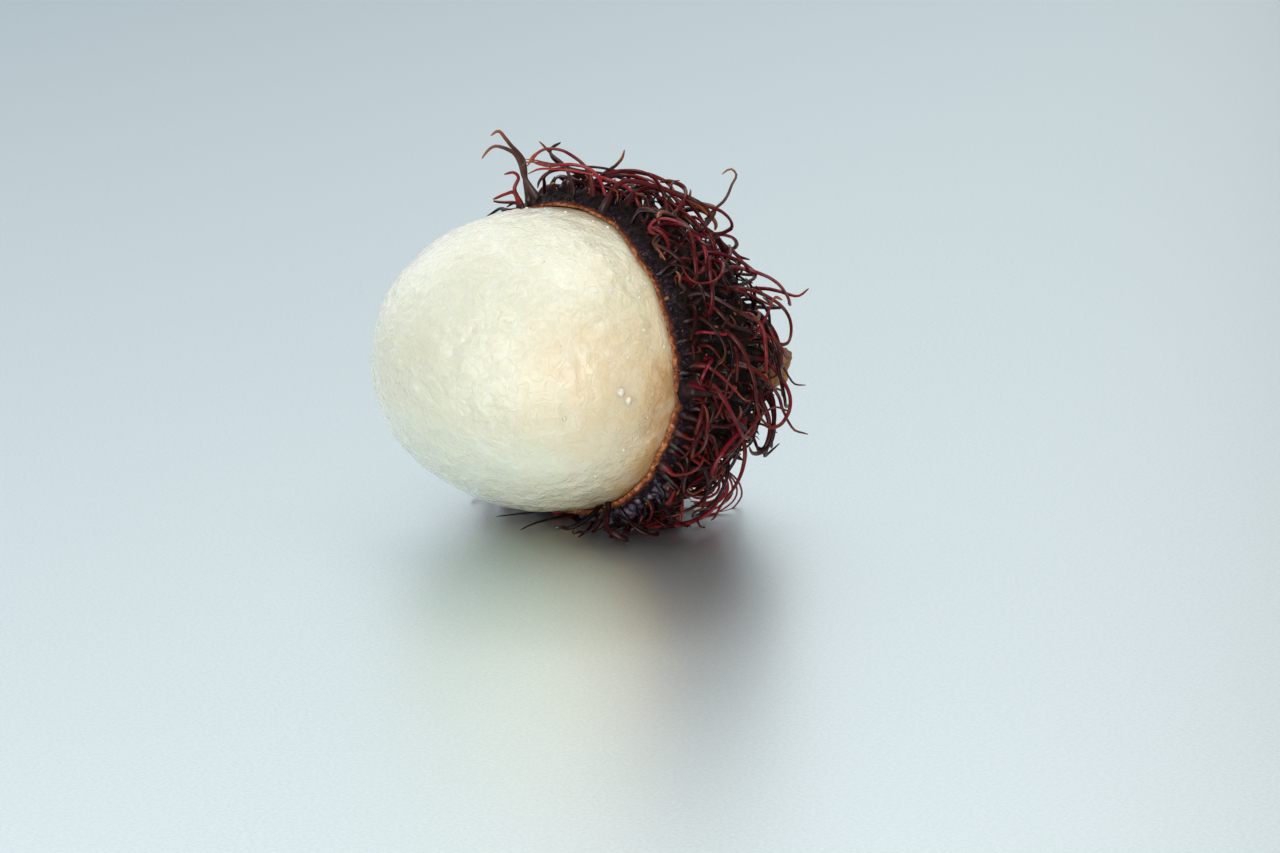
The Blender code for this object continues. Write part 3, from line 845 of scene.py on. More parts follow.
def strand_width(hand, given, along):
    """The strand's width at its share along, as a socket: a flare at the root, a blade and a blunt tip."""
    left = hand.minus(1.0, hand.times(along, FLARE_FALL), clamp=True)
    flare = hand.times(hand.squared(left), given["Root Flare"])
    flare = hand.times(flare, hand.attribute("flare"))
    taper = hand.minus(given["Tip Width"], given["Blade Width"])
    blade = hand.times_plus(along, taper, given["Blade Width"])
    past = hand.times(hand.minus(along, TIP_START), TIP_FALL, clamp=True)
    tip = hand.minus(1.0, hand.times(hand.squared(past), TIP_THINNING))
    full = hand.times(hand.plus(flare, blade), tip)
    return hand.times(full, hand.attribute("girth"))


def strand_courses(strands):
    """A wire mesh of the strands' courses, which carries each one's traits."""
    points, edges, traits = [], [], []
    for course, *own in strands:
        for number, point in enumerate(course):
            if number:
                edges.append((len(points) - 1, len(points)))
            points.append(tuple(point))
            traits.append(own)
    mesh = bpy.data.meshes.new("strand_courses")
    mesh.from_pydata(to_world(np.array(points)).tolist(), edges, [])
    for name, values in zip(Strand._fields[1:], np.array(traits).T):
        store(mesh, name, values)
    return add_piece("strand_courses", mesh)


def make_strands(name, strands, material, rings, sides, **sizes):
    """A piece of strands, each swept with this many rings of this many sides."""
    sizes = {"Rings": rings, "Sides": sides, "Seed": 5.0, **sizes}
    piece = grown(name, strand_courses(strands), strand_tree(material), sizes)
    flatten_underside(piece.data)
    return piece


# ---------------------------------------------------------------- flesh

def flesh_relief(points):
    """The flesh's wet, finely wrinkled surface, as heights in millimetres."""
    swell = cloud(points, 10.0, seed=1, octaves=2) * 0.15
    dents = cloud(points * np.array((1.0, 0.8, 0.8)), 3.0, seed=2, octaves=2) * 0.10
    wrinkles = -crease(points, 2.6, seed=3) * 0.05 - crease(points, 1.4, seed=4) * 0.04
    pebbles = cloud(points, 1.5, seed=5, octaves=2) * 0.14 + cloud(points, 0.8, seed=6, octaves=1) * 0.04
    return swell + dents + (wrinkles + pebbles) * pitted(points)


def pitted(points):
    """How pitted the flesh is: little on the smooth place at its front, fully elsewhere, in patches."""
    away = np.linalg.norm(points - np.array(SMOOTH_PLACE), axis=1)
    patches = smooth_step(cloud(points, 8.0, seed=7, octaves=2), -0.35, 0.25)
    return smooth_step(away, 2.0, 10.0) * (0.35 + 0.65 * patches) * 0.8 + 0.2


def make_flesh():
    """The flesh: a closed ball of rings, pressed smooth where it sits in the rind."""
    around, along = FLESH_AROUND, FLESH_ALONG
    rings = ball_points(around, along)[around:-around]
    points = np.array([(1.0, 0.0, 0.0), *rings, (-1.0, 0.0, 0.0)]) * np.array(FLESH_RADII)
    faces = ring_faces(along - 1, around, first=1, flip=True)
    last = len(points) - 1
    for number in range(around):
        following = (number + 1) % around
        faces.append((0, 1 + number, 1 + following))
        faces.append((last, last - around + following, last - around + number))
    to_mouth = past_mouth(points)
    seated = smooth_step(-to_mouth, -2.6, 1.0)
    relief = flesh_relief(points) * (1 - SEAT_SMOOTHING * seated) + SEAT_FILL * seated
    # Painted shade and warm glow: yellowest and darkest by the rim, paler away from it, more so low down,
    # and paler higher up.
    high, low = np.maximum(0, points[:, 2] - 2), smooth_step(-points[:, 2], 3.0, 11.0)
    paler = np.clip(to_mouth * (1 + 0.8 * low) + 0.9 * high, 0, PALE_REACH) / PALE_REACH
    rim_shade_band = (1 - smooth_step(to_mouth, 0.5, 4.5)) * (1 - smooth_step(points[:, 2], 9.0, 15.0))
    points = points + normals_of(points, FLESH_RADII) * relief[:, None]
    mesh = mesh_of("flesh", points, faces)
    store(mesh, "to_mouth", to_mouth)
    store(mesh, "rim_shade_and_glow", np.maximum(1 - paler, RIM_PAINTED_SHADE * rim_shade_band))
    store(mesh, "pitted", pitted(points))
    return add_piece("flesh", mesh, flesh_material())


def make_beads(flesh):
    """Small beads of juice on the flesh near the rim."""
    to_mouth, heights = read(flesh.data, "to_mouth"), world_heights(flesh.data)
    wet = smooth_step(to_mouth, 0.5, 1.2) * (1 - smooth_step(to_mouth, 3.0, 8.0))
    sow = wet * smooth_step(heights, 6 * MM, 14 * MM)
    sizes = {"Density": 170000.0, "Smallest": 0.08 * MM, "Largest": 0.22 * MM, "Tilt": 0.0, "Seed": 3}
    return sown(flesh, "juice_beads", sow, pebble(1.0, (1.0, 1.0, 0.6)), juice_material(), **sizes)


def make_bubbles(flesh):
    """Clear bubbles that cling to the front of the flesh."""
    bm = bmesh.new()
    for place, radius in BUBBLES:
        _, spot, normal, _ = flesh.closest_point_on_mesh(FRUIT @ Vector(place))
        upright = Matrix.Translation(spot) @ normal.to_track_quat("Z", "Y").to_matrix().to_4x4()
        bmesh.ops.create_icosphere(
            bm, subdivisions=3, radius=radius * MM, matrix=upright @ Matrix.Diagonal((1.0, 1.0, 0.85, 1.0))
        )
    mesh = bpy.data.meshes.new("bubbles")
    bm.to_mesh(mesh)
    bm.free()
    mesh.shade_smooth()
    return add_piece("bubbles", mesh, bubble_material())


# ---------------------------------------------------------------- rind

def mouth_grid(radii, around):
    """The mouth's axis in the ball's space, spokes round it, and the rim's angle from it at each spoke."""
    facing = np.array(mouth_normal())
    axis = radii * facing
    reach = np.linalg.norm(axis)
    axis = axis / reach
    up = np.cross(axis, (0, 0, 1.0))
    up = up / np.linalg.norm(up)
    side = np.cross(axis, up)
    turns = np.linspace(0, 2 * math.pi, around, endpoint=False)
    spokes = np.cos(turns)[:, None] * up + np.sin(turns)[:, None] * side
    # The torn edge wanders with the angle, so the rim is found step by step from a level one.
    rim = np.full(around, facing[0] * MOUTH_CENTRE / reach)
    for _ in range(6):
        points = (rim[:, None] * axis + np.sqrt(1 - rim[:, None] ** 2) * spokes) * radii
        rim = rim - past_mouth(points) / reach
    return axis, spokes, np.arccos(rim)


def cup_rings(radii, around, rings):
    """Rings of points from the rim down to the cup's far pole. The pole itself is left out."""
    radii = np.array(radii)
    axis, spokes, rim = mouth_grid(radii, around)
    out = []
    for ring in range(rings):
        polar = rim + (math.pi - rim) * (ring / rings)
        out.append((np.cos(polar)[:, None] * axis + np.sin(polar)[:, None] * spokes) * radii)
    return out, -axis * radii


def skin_relief(points, roots):
    """Heights over the skin: a ridged, pointed boss under each strand, and scales between them."""
    tree = KDTree(len(roots))
    for number, root in enumerate(roots):
        tree.insert(root, number)
    tree.balance()
    near = np.array([tree.find(Vector(point))[2] for point in points])
    ridges = cloud(points, 1.1, seed=11, octaves=3)
    bosses = np.clip(1 - near / (BOSS_REACH + 0.8 * ridges), 0, 1) ** 1.6 * BOSS_HEIGHT
    scales = smooth_step(cells(points, SCALE_SIZE, seed=12), 0.0, 0.35) * SCALE_HEIGHT
    fibres = cloud(points * np.array((0.55, 1.0, 1.0)), 0.75, seed=13, octaves=3) * 0.16
    return bosses + scales + fibres - SCALE_HEIGHT


def make_rind(roots):
    """The rind: lining, torn edge and outer skin, one run of rings from the inner pole to the outer."""
    around = RIND_AROUND
    skin, skin_pole = cup_rings(SKIN_RADII, around, SKIN_RINGS)
    lining, lining_pole = cup_rings(LINING_RADII, around, LINING_RINGS)
    shares = [ring / RIM_RINGS for ring in range(1, RIM_RINGS)]
    torn = [lining[0] * (1 - share) + skin[0] * share for share in shares]
    rings = lining[::-1] + torn + skin
    flat = np.concatenate(rings)
    first_torn = LINING_RINGS * around
    first_skin = (LINING_RINGS + RIM_RINGS - 1) * around
    depth = -past_mouth(flat)
    offset = np.zeros(len(flat))
    outer, inwards = flat[first_skin:], depth[first_skin:]
    lumps = skin_relief(outer, roots) * smooth_step(inwards, 0.2, 2.2)
    grain = cloud(outer, 0.42, seed=14, octaves=2) * 0.12 * smooth_step(inwards, 0.0, 0.3)
    offset[first_skin:] = lumps + grain - LIP_THINNING * (1 - smooth_step(inwards, -0.4, 2.0))
    for ring in range(1, RIM_RINGS):
        start = first_torn + (ring - 1) * around
        offset[start:start + around] = ring / RIM_RINGS * offset[first_skin:first_skin + around]
    flat = flat + normals_of(flat, SKIN_RADII) * offset[:, None]
    flat = flat + ragged_edge(flat, depth, first_torn, first_skin)
    points = np.concatenate([flat, [lining_pole, skin_pole]])
    faces = ring_faces(len(rings), around)
    inner_pole, outer_pole = len(points) - 2, len(points) - 1
    last = (len(rings) - 1) * around
    for number in range(around):
        following = (number + 1) % around
        faces.append((inner_pole, following, number))
        faces.append((outer_pole, last + number, last + following))
    mesh = mesh_of("rind", points, faces)
    flatten_underside(mesh)
    store(mesh, "depth", np.concatenate([depth, [POLE_DEPTH, POLE_DEPTH]]))
    store(mesh, "lift", np.concatenate([offset, [0.0, 0.0]]))
    piece = add_piece("rind", mesh, skin_material(), torn_material(), lining_material())
    skin_made, torn_made, lining_made = range(3)
    bands = np.repeat((lining_made, torn_made, skin_made), (LINING_RINGS - 1, RIM_RINGS - 1, SKIN_RINGS))
    pole_faces = np.tile((lining_made, skin_made), around)
    mesh.polygons.foreach_set("material_index", np.concatenate([np.repeat(bands, around), pole_faces]))
    return piece


def ragged_edge(points, depth, first_torn, first_skin):
    """Small nicks and fibres that stand out of the torn edge, as moves along the mouth's facing."""
    weight = np.zeros(len(points))
    weight[first_torn:first_skin] = 1.0
    weight[first_skin:] = np.clip(1 - depth[first_skin:] / NICK_REACH, 0, 1)
    weight[:first_torn] = np.clip(1 - depth[:first_torn] / NICK_REACH, 0, 1) * 0.6
    near = weight > 0
    moves = np.zeros(len(points))
    close = points[near]
    moves[near] = cloud(close, 0.55, seed=21, octaves=3) * 0.30 + cloud(close, 1.8, seed=22) * 0.22
    return (moves * weight)[:, None] * np.array(mouth_normal())


def skin_places(rind):
    """Depth behind the rim, height over the ground, and which points are on the outer skin."""
    return read(rind.data, "depth"), world_heights(rind.data), read(rind.data, "lift") != 0


def make_thorns(rind, material):
    """Short dark thorns and broken roots between the strands."""
    depth, heights, outside = skin_places(rind)
    sow = smooth_step(depth, 1.0, 2.2) * outside * smooth_step(heights, 1.2 * MM, 2.5 * MM)
    sizes = {"Density": 300000.0, "Smallest": 0.6 * MM, "Largest": 1.7 * MM, "Tilt": 0.55, "Seed": 8}
    return sown(rind, "thorns", sow, cone(6, 0.32), material, flatten=True, **sizes)


def make_crumbs(rind):
    """Crumbs of dry orange cork caught in the rind."""
    depth, heights, outside = skin_places(rind)
    sow = smooth_step(depth, 0.3, 1.0) * outside * smooth_step(heights, 1.0 * MM, 2.0 * MM)
    for cluster, reach in CRUMB_CLUSTERS:
        away = np.linalg.norm(world_places(rind.data) - np.array(FRUIT @ Vector(cluster)), axis=1)
        sow *= 1 + CLUSTER_DENSITY * (1 - smooth_step(away, 0.3 * reach * MM, reach * MM))
    sizes = {"Density": 60000.0, "Smallest": 0.3 * MM, "Largest": 0.9 * MM, "Tilt": 0.8, "Seed": 21}
    return sown(rind, "crumbs", sow, pebble(0.5, (1.0, 0.6, 0.4)), crumb_material(), smooth=False, **sizes)


def make_papillae(rind):
    """The jagged purple grains of the bare band behind the rim."""
    depth, heights, outside = skin_places(rind)
    band = smooth_step(depth, 0.25, 0.6) * (1 - smooth_step(depth, 0.8, 2.0))
    sow = band * outside * smooth_step(heights, 0.9 * MM, 1.6 * MM)
    sizes = {"Density": 2600000.0, "Smallest": 0.18 * MM, "Largest": 0.62 * MM, "Tilt": 0.7, "Seed": 15}
    return sown(rind, "papillae", sow, cone(5, 0.42), skin_material(), **sizes)


def make_torn_tufts(rind):
    """Wet purple tufts of torn skin under the low side of the rim."""
    depth, heights, outside = skin_places(rind)
    low_side = smooth_step(heights, 0.4 * MM, 1.0 * MM) * (1 - smooth_step(heights, 5.0 * MM, 9.0 * MM))
    sow = smooth_step(depth, 0.05, 0.3) * (1 - smooth_step(depth, 2.2, 4.0)) * outside * low_side
    sizes = {"Density": 1700000.0, "Smallest": 0.6 * MM, "Largest": 2.6 * MM, "Tilt": 1.3, "Seed": 31}
    return sown(rind, "torn_tufts", sow, cone(6, 0.25), bruised_material(), flatten=True, **sizes)


def make_rim_fibres(rind):
    """Fine torn fibres along the rim."""
    depth, heights, _ = skin_places(rind)
    sow = (1 - smooth_step(np.abs(depth), 0.15, 0.4)) * smooth_step(heights, 0.8 * MM, 1.6 * MM)
    sizes = {"Density": 1500000.0, "Smallest": 0.20 * MM, "Largest": 0.60 * MM, "Tilt": 0.9, "Seed": 4}
    return sown(rind, "rim_fibres", sow, cone(4, 0.22), torn_material(), smooth=False, **sizes)


# ---------------------------------------------------------------- stub

def make_stub():
    """The corky stub: a knob with a broken end, ringed and cracked."""
    low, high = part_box("stem_stub")
    centre = GROUND @ ((low + high) / 2 + STUB_SHIFT * MM)
    unit = np.array(ball_points(STUB_AROUND, STUB_ALONG))
    square = np.sign(unit) * np.abs(unit) ** 0.8
    points = square * np.array(STUB_RADII)
    collars = np.sin(unit[:, 0] * STUB_COLLARS) * COLLAR_HEIGHT
    lumps = cloud(points, 1.5, seed=31) * 0.55 - crease(points, 1.2, seed=32) * 0.28
    points = points * (1 + (collars + lumps)[:, None] / STUB_MEAN) + np.array(centre)
    mesh = mesh_of("stub", points, ring_faces(STUB_ALONG + 1, STUB_AROUND, flip=True))
    bm = bmesh.new()
    bm.from_mesh(mesh)
    bmesh.ops.remove_doubles(bm, verts=bm.verts, dist=1e-6)
    bmesh.ops.recalc_face_normals(bm, faces=bm.faces)
    bm.to_mesh(mesh)
    bm.free()
    return add_piece("stub", mesh, cork_material())


# ---------------------------------------------------------------- materials

class Finish(Tree):
    """A material with one Principled BSDF, and a hand to wire its nodes."""

    def __init__(self, name, **sockets):
        self.material = bpy.data.materials.new(name)
        self.material.use_nodes = True
        super().__init__(self.material.node_tree.nodes, self.material.node_tree.links)
        self.shader = self.nodes["Principled BSDF"]
        for label, value in sockets.items():
            self.shader.inputs[label.replace("_", " ")].default_value = value
        self.place = self.add("ShaderNodeTexCoord").outputs["Object"]

    def noise(self, scale, detail=3.0, rough=0.5, twist=0.0):
        inputs = {"Scale": scale, "Detail": detail, "Roughness": rough, "Distortion": twist}
        return self.out("ShaderNodeTexNoise", {"Vector": self.place, **inputs})

    def threads(self, scale, width):
        """0 along fine wandering threads, 1 between them."""
        off = self.math("ABSOLUTE", self.minus(self.noise(scale, 2.0, twist=0.8), 0.5))
        return self.span(off, 0.0, width)

    def given(self, name):
        """What the mesh says of each point under this name."""
        return self.add("ShaderNodeAttribute", attribute_name=name).outputs["Fac"]

    def span(self, value, low, high, start=0.0, end=1.0, **settings):
        """start where the value is low, end where it is high, and a slope between them."""
        return self.out("ShaderNodeMapRange", {0: value, 1: low, 2: high, 3: start, 4: end}, **settings)

    def near(self, place, reach):
        """1 at a place in the world, falling to 0 at this reach from it."""
        far = self.add("ShaderNodeVectorMath", {0: self.place, 1: place}, operation="DISTANCE")
        return self.span(far.outputs["Value"], 0.0, reach, 1.0, 0.0, interpolation_type="SMOOTHSTEP")

    def ramp(self, value, first, *others):
        """Colours along a value, as stops in their order."""
        node = self.add("ShaderNodeValToRGB", {"Fac": value})
        elements = node.color_ramp.elements
        *middle, last = others
        for spot, colour in middle:
            elements.new(spot).color = (*colour, 1.0)
        for element, (spot, colour) in ((elements[0], first), (elements[-1], last)):
            element.position, element.color = spot, (*colour, 1.0)
        return node.outputs[0]

    def mix(self, factor, first, second, share=None):
        """first where the factor is 0, and this share of second where it is 1."""
        if share:
            factor = self.times(factor, share)
        node = self.add("ShaderNodeMix", {0: factor}, data_type="RGBA")
        for slot, colour in ((6, first), (7, second)):
            self.feed(node.inputs[slot], (*colour, 1.0) if isinstance(colour, tuple) else colour)
        return node.outputs[2]

    def bump(self, height, distance, strength=1.0, under=None):
        node = self.add("ShaderNodeBump", {"Height": height, "Distance": distance, "Strength": strength})
        if under:
            self.feed(node.inputs["Normal"], under)
        return node.outputs[0]

    def finish(self, colour, roughness=None, normal=None, coat=None, coat_normal=None):
        wired = {
            "Base Color": colour,
            "Roughness": roughness,
            "Normal": normal,
            "Coat Weight": coat,
            "Coat Normal": coat_normal,
        }
        for label, value in wired.items():
            if value:
                self.feed(self.shader.inputs[label], value)
        return self.material

    def fibrous(self, colour, fibres, gloss, depth, strength, coat=None):
        """Finishes as a surface whose fibres stand out of it and are rougher than what is between them."""
        roughness = self.span(fibres, 0.3, 0.7, *gloss)
        return self.finish(colour, roughness, self.bump(fibres, depth, strength), coat)


def flesh_material():
    """Wet white flesh that light sinks into, yellower and darker towards the rim as painted shade and warm
    glow, under a clear rippled coat.
    """
    made = Finish(
        "aril_flesh",
        Subsurface_Weight=0.7,
        Subsurface_Radius=(1.0, 0.75, 0.45),
        Subsurface_Scale=3.4 * MM,
        Roughness=0.3,
        Specular_IOR_Level=0.4,
        Coat_Weight=1.0,
        Coat_Roughness=0.03,
        Coat_IOR=1.72,
    )
    cloudy = made.times(made.minus(made.noise(95.0), 0.5), 0.5)
    # Yellower and darker towards the rim: painted shade and warm glow.
    base = made.ramp(
        made.plus(made.given("rim_shade_and_glow"), cloudy, clamp=True),
        (0.0, (0.75, 0.77, 0.64)),
        (0.35, (0.74, 0.72, 0.55)),
        (0.65, (0.72, 0.62, 0.41)),
        (0.88, (0.70, 0.53, 0.30)),
        (1.0, (0.55, 0.32, 0.13)),
    )
    # A painted warm glow, amber, on the flesh's front.
    base = made.mix(made.near(FRUIT @ PAINTED_GLOW, PAINTED_GLOW_REACH * MM), base, PAINTED_GLOW_AMBER, 0.55)
    milky = made.span(made.noise(420.0, 4.0, rough=0.6), 0.42, 0.72)
    colour = made.mix(milky, base, MILK, 0.25)
    wet = made.span(made.noise(260.0), 0.3, 0.7, 0.25, 0.45)
    pitted_here = made.given("pitted")
    swell = made.bump(made.noise(310.0, 1.0, twist=0.6), 0.30 * MM)
    ripple = made.bump(made.noise(780.0, 1.0, twist=2.2), 0.50 * MM, pitted_here, under=swell)
    threads = made.bump(made.threads(620.0, 0.05), 0.03 * MM, under=ripple)
    fine = made.bump(made.noise(1700.0, 1.0, twist=1.4), 0.20 * MM, pitted_here, under=threads)
    body = made.bump(made.threads(620.0, 0.08), 0.02 * MM, 0.8)
    return made.finish(colour, wet, body, coat_normal=fine)


def juice_material():
    made = Finish(
        "juice",
        Subsurface_Weight=0.5,
        Subsurface_Scale=1.0 * MM,
        Roughness=0.1,
        Coat_Weight=1.0,
        Coat_Roughness=0.02,
    )
    return made.finish(made.ramp(made.noise(600.0), (0.3, (0.88, 0.78, 0.58)), (0.7, (0.93, 0.88, 0.75))))


def bubble_material():
    made = Finish(
        "bubble",
        Subsurface_Weight=0.3,
        Subsurface_Scale=0.5 * MM,
        Roughness=0.05,
        Coat_Weight=1.0,
        Coat_Roughness=0.02,
        Coat_IOR=1.8,
    )
    return made.finish(made.ramp(made.noise(900.0), (0.3, (0.66, 0.60, 0.46)), (0.7, (0.74, 0.69, 0.54))))


def skin_material():
    """Nearly black leather, purple and speckled behind the rim, with a torn brown lip and rusty flecks."""
    made = Finish("rind_skin", Specular_IOR_Level=0.10, Coat_Roughness=0.12)
    patchy, fibres = made.noise(260.0, 4.0), made.noise(1900.0, 5.0, rough=0.65)
    tone = made.ramp(
        made.plus(made.times(patchy, 0.6), made.times(fibres, 0.4)),
        (0.30, (0.004, 0.002, 0.002)),
        (0.48, (0.008, 0.004, 0.003)),
        (0.62, (0.022, 0.009, 0.006)),
        (0.80, (0.075, 0.026, 0.013)),
    )
    tone = made.mix(made.span(made.given("lift"), 0.1, 1.0), tone, DULL_BROWN, 0.35)
    speckled = made.ramp(
        made.noise(3200.0, rough=0.7),
        (0.40, (0.005, 0.002, 0.004)),
        (0.56, (0.016, 0.008, 0.013)),
        (0.72, (0.135, 0.080, 0.115)),
    )
    depth = made.given("depth")
    band = made.span(made.plus(depth, made.times(patchy, 1.6)), 1.4, 2.4, 1.0, 0.0)
    tone = made.mix(band, tone, speckled, 0.9)
    lip = made.span(made.plus(depth, made.times(fibres, 0.6)), 0.20, 0.62, 1.0, 0.0)
    tone = made.mix(lip, tone, LIP_BROWN)
    tone = made.mix(made.span(made.noise(720.0, 2.0), 0.66, 0.74), tone, RUST, 0.6)
    coat = made.span(made.noise(650.0), 0.58, 0.70, 0.0, 0.5)
    grain = made.bump(made.noise(5200.0, 2.0), 0.10 * MM, under=made.bump(fibres, 0.35 * MM))
    return made.finish(tone, made.span(fibres, 0.3, 0.7, 0.40, 0.70), grain, coat, coat_normal=grain)


def bruised_material():
    """Wet torn skin, bruised purple."""
    made = Finish("bruised_skin", Specular_IOR_Level=0.12, Coat_Roughness=0.10)
    tone = made.ramp(
        made.noise(650.0, rough=0.6),
        (0.32, (0.012, 0.006, 0.009)),
        (0.46, (0.050, 0.036, 0.060)),
        (0.58, (0.105, 0.085, 0.130)),
        (0.72, (0.150, 0.030, 0.022)),
    )
    coat = made.span(made.noise(800.0, 2.0), 0.48, 0.62)
    return made.fibrous(tone, made.noise(2600.0, 4.0), (0.30, 0.60), 0.2 * MM, 0.9, coat)


def strand_tone(made, along, tint):
    """A strand's colour: black root, maroon or crimson blade, tan tip, each strand its own, scaled by its
    brightness.
    """
    body = made.ramp(
        tint,
        (0.0, (0.250, 0.009, 0.022)),
        (0.25, (0.125, 0.005, 0.010)),
        (0.50, (0.190, 0.017, 0.014)),
        (0.80, (0.048, 0.005, 0.007)),
        (1.0, (0.095, 0.046, 0.038)),
    )
    streak = made.span(made.noise(700.0), 0.35, 0.7)
    body = made.mix(streak, body, DARK_STREAK, 0.5)
    root = made.span(made.plus(along, made.times(streak, 0.12)), 0.05, 0.27, 1.0, 0.0)
    tone = made.mix(root, body, ROOT_BLACK)
    tip = made.times(made.span(along, 0.70, 1.0), made.span(tint, 0.45, 0.9, 0.1, 1.0))
    # Scaled by the strand's brightness: partly its own tone, partly painted light and shade.
    return made.scaled(made.mix(tip, tone, TIP_TAN), made.given("tone_and_painted_light"))


def strand_material():
    """Leathery strands with wet, glossy patches."""
    made = Finish("strand", Specular_IOR_Level=0.06, Coat_Roughness=0.10, Coat_IOR=1.42)
    tone = strand_tone(made, made.given("along"), made.given("tint"))
    coat = made.span(made.noise(520.0), 0.44, 0.62, 0.05, 0.85)
    return made.fibrous(tone, made.noise(2600.0), (0.35, 0.60), 0.08 * MM, 0.6, coat)


def strand_root_material():
    """The nearly black roots, claws and thorns."""
    made = Finish("strand_root", Specular_IOR_Level=0.12, Coat_Roughness=0.14)
    tone = made.ramp(
        made.noise(480.0, 4.0),
        (0.30, (0.004, 0.003, 0.003)),
        (0.55, (0.014, 0.006, 0.006)),
        (0.78, (0.070, 0.012, 0.010)),
    )
    coat = made.span(made.noise(700.0), 0.54, 0.68, 0.0, 0.8)
    return made.fibrous(tone, made.noise(2400.0, 4.0), (0.35, 0.65), 0.15 * MM, 0.8, coat)


def torn_material():
    """The torn edge: orange and cream pith inside, darker towards the outer skin."""
    made = Finish(
        "torn_flesh",
        Subsurface_Weight=0.15,
        Subsurface_Radius=(1.0, 0.4, 0.15),
        Subsurface_Scale=0.6 * MM,
    )
    tone = made.ramp(
        made.noise(1500.0, 4.0, rough=0.65),
        (0.30, (0.050, 0.012, 0.006)),
        (0.45, (0.28, 0.066, 0.017)),
        (0.57, (0.58, 0.19, 0.060)),
        (0.78, (0.84, 0.45, 0.22)),
    )
    outer = made.span(made.plus(made.given("lift"), made.noise(1300.0)), 0.08, -0.45)
    tone = made.mix(outer, tone, PITH_BROWN, 0.80)
    return made.fibrous(tone, made.noise(3600.0), (0.40, 0.70), 0.25 * MM, 1.0)


def lining_material():
    """The orange inside of the rind."""
    made = Finish("rind_lining", IOR=1.42, Coat_Weight=0.3, Coat_Roughness=0.2)
    tone = made.ramp(
        made.noise(330.0, 5.0, rough=0.6),
        (0.25, (0.10, 0.025, 0.008)),
        (0.5, (0.27, 0.075, 0.016)),
        (0.80, (0.48, 0.17, 0.04)),
    )
    return made.fibrous(tone, made.noise(1100.0, 4.0), (0.3, 0.6), 0.2 * MM, 0.6)


def crumb_material():
    made = Finish("crumb", Roughness=0.8)
    return made.finish(made.ramp(made.noise(900.0), (0.35, (0.16, 0.045, 0.012)), (0.7, (0.55, 0.22, 0.06))))


def cork_material():
    """Dry tan cork with orange flecks."""
    made = Finish("stub_cork")
    grain = made.noise(900.0, 5.0, rough=0.65)
    tone = made.ramp(
        grain,
        (0.28, (0.045, 0.018, 0.008)),
        (0.45, (0.19, 0.085, 0.032)),
        (0.60, (0.34, 0.165, 0.055)),
        (0.78, (0.50, 0.28, 0.11)),
    )
    tone = made.mix(made.span(made.noise(520.0, 2.0), 0.58, 0.68), tone, ORANGE_CORK, 0.7)
    return made.fibrous(tone, grain, (0.65, 0.95), 0.3 * MM, 0.9)


# ---------------------------------------------------------------- floor, light and camera

def make_floor():
    """A brushed pale metal sheet with painted light: lighter towards the viewer, darker to the back and
    left.
    """
    edge = FLOOR_REACH
    corners = [(-edge, -edge, 0), (edge, -edge, 0), (edge, edge, 0), (-edge, edge, 0)]
    mesh = bpy.data.meshes.new("floor")
    mesh.from_pydata(corners, [], [(0, 1, 2, 3)])
    made = Finish("floor_sheet", Roughness=0.39, Metallic=0.95)
    place = made.add("ShaderNodeSeparateXYZ", {"Vector": made.place}).outputs
    away = made.times_plus(place["X"], -0.9, place["Y"])
    # Painted light: the floor's colour fades from lit near the viewer to shaded far away.
    tone = made.ramp(made.span(away, -0.14, 0.42), (0.0, FLOOR_LIT_NEAR), (1.0, FLOOR_SHADED_FAR))
    grain = made.span(made.noise(2600.0, 2.0), 0.35, 0.65, 0.955, 1.03)
    floor = add_piece("floor", mesh, made.finish(made.scaled(tone, grain)))


def aim_at(target, obj):
    """Turns an object to a target and puts it in the scene."""
    obj.rotation_euler = (target - obj.location).to_track_quat("-Z", "Y").to_euler()
    bpy.context.scene.collection.objects.link(obj)


def make_lights(middle):
    for name, place, size, power, colour in SOFTBOXES:
        light = bpy.data.lights.new(name, "AREA")
        light.shape, light.size, light.energy, light.color = "SQUARE", size, power, colour
        box = bpy.data.objects.new(name, light)
        box.location = middle + Vector(place)
        aim_at(middle, box)
    world = bpy.data.worlds.new("studio")
    world.use_nodes = True
    sky = world.node_tree.nodes["Background"].inputs
    sky["Color"].default_value, sky["Strength"].default_value = (*STUDIO_COLOUR, 1.0), STUDIO_STRENGTH
    bpy.context.scene.world = world


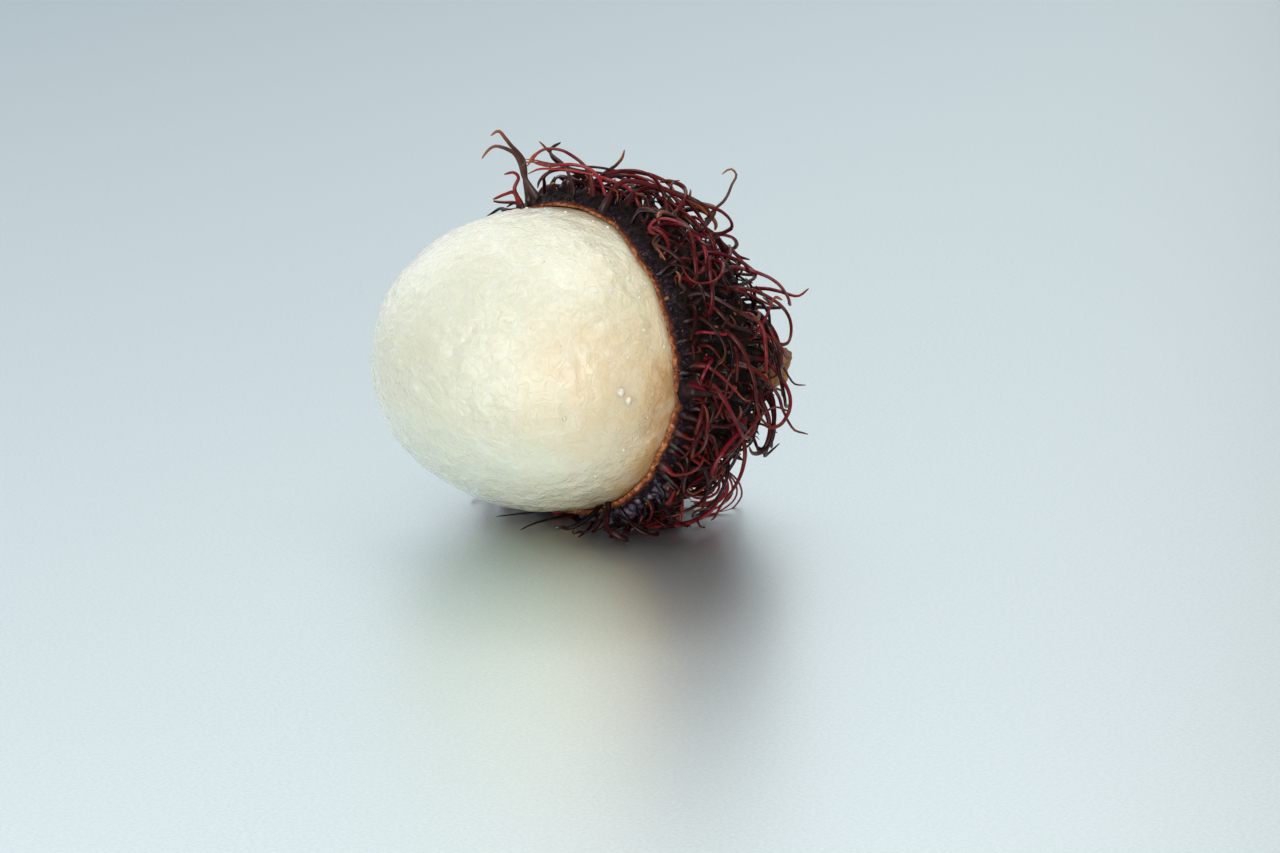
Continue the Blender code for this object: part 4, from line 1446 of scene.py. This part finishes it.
def make_camera(middle):
    azimuth, elevation = math.radians(VIEW_AZIMUTH), math.radians(VIEW_ELEVATION)
    level = math.cos(elevation)
    back = Vector((math.sin(azimuth) * level, -math.cos(azimuth) * level, math.sin(elevation)))
    right = Vector((math.cos(azimuth), math.sin(azimuth), 0))
    lens = bpy.data.cameras.new("camera")
    lens.lens, lens.sensor_width, lens.clip_start = LENS, SENSOR_WIDTH, 0.01
    camera = bpy.data.objects.new("camera", lens)
    camera.location = middle + back * VIEW_DISTANCE
    aim_at(middle + right * AIM_RIGHT * MM - back.cross(right) * AIM_DOWN * MM, camera)
    bpy.context.scene.camera = camera


# ---------------------------------------------------------------- the whole

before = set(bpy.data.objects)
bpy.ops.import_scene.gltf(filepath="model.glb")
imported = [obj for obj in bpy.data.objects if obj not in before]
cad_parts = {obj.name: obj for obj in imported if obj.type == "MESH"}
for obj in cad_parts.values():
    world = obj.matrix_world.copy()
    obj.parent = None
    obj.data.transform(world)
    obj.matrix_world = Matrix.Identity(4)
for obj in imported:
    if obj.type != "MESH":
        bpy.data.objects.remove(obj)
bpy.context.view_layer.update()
FRUIT = fruit_frame()
GROUND = FRUIT.inverted()
STUB_END = GROUND @ (sum(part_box("stem_stub"), Vector()) / 2 + STUB_TIP * MM)
CLEARINGS = ((STUB_END, STUB_CLEARANCE), (FAN_MIDDLE, FAN_CLEARANCE), (WISP_MIDDLE, WISP_CLEARANCE))


def main():
    strands = strand_paths()
    roots = [one.course[0] + skin_normal(one.course[0]) * ROOT_SINK for one in strands if one.flare]
    flesh = make_flesh()
    rind = make_rind(roots)
    strand, root = strand_material(), strand_root_material()
    spines = make_strands("spines", strands, strand, rings=30, sides=7)
    mat = make_strands("mat_strands", mat_paths(), strand, rings=16, sides=5)
    claws = make_strands("claws", claw_paths(), root, rings=9, sides=8, **CLAW_SHAPE)
    stub = make_stub()
    small = [make_thorns(rind, root)]
    small += [make(rind) for make in (make_crumbs, make_papillae, make_torn_tufts, make_rim_fibres)]
    small += [make_beads(flesh), make_bubbles(flesh)]
    for piece in (flesh, rind, spines, mat, claws, stub, *small):
        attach(piece, "root")
    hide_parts("aril")
    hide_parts("rind_half")
    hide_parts("stem_stub")
    make_floor()
    middle = FRUIT.translation.copy()
    make_lights(middle)
    make_camera(middle)
    bpy.context.scene.view_settings.view_transform = "Standard"


main()
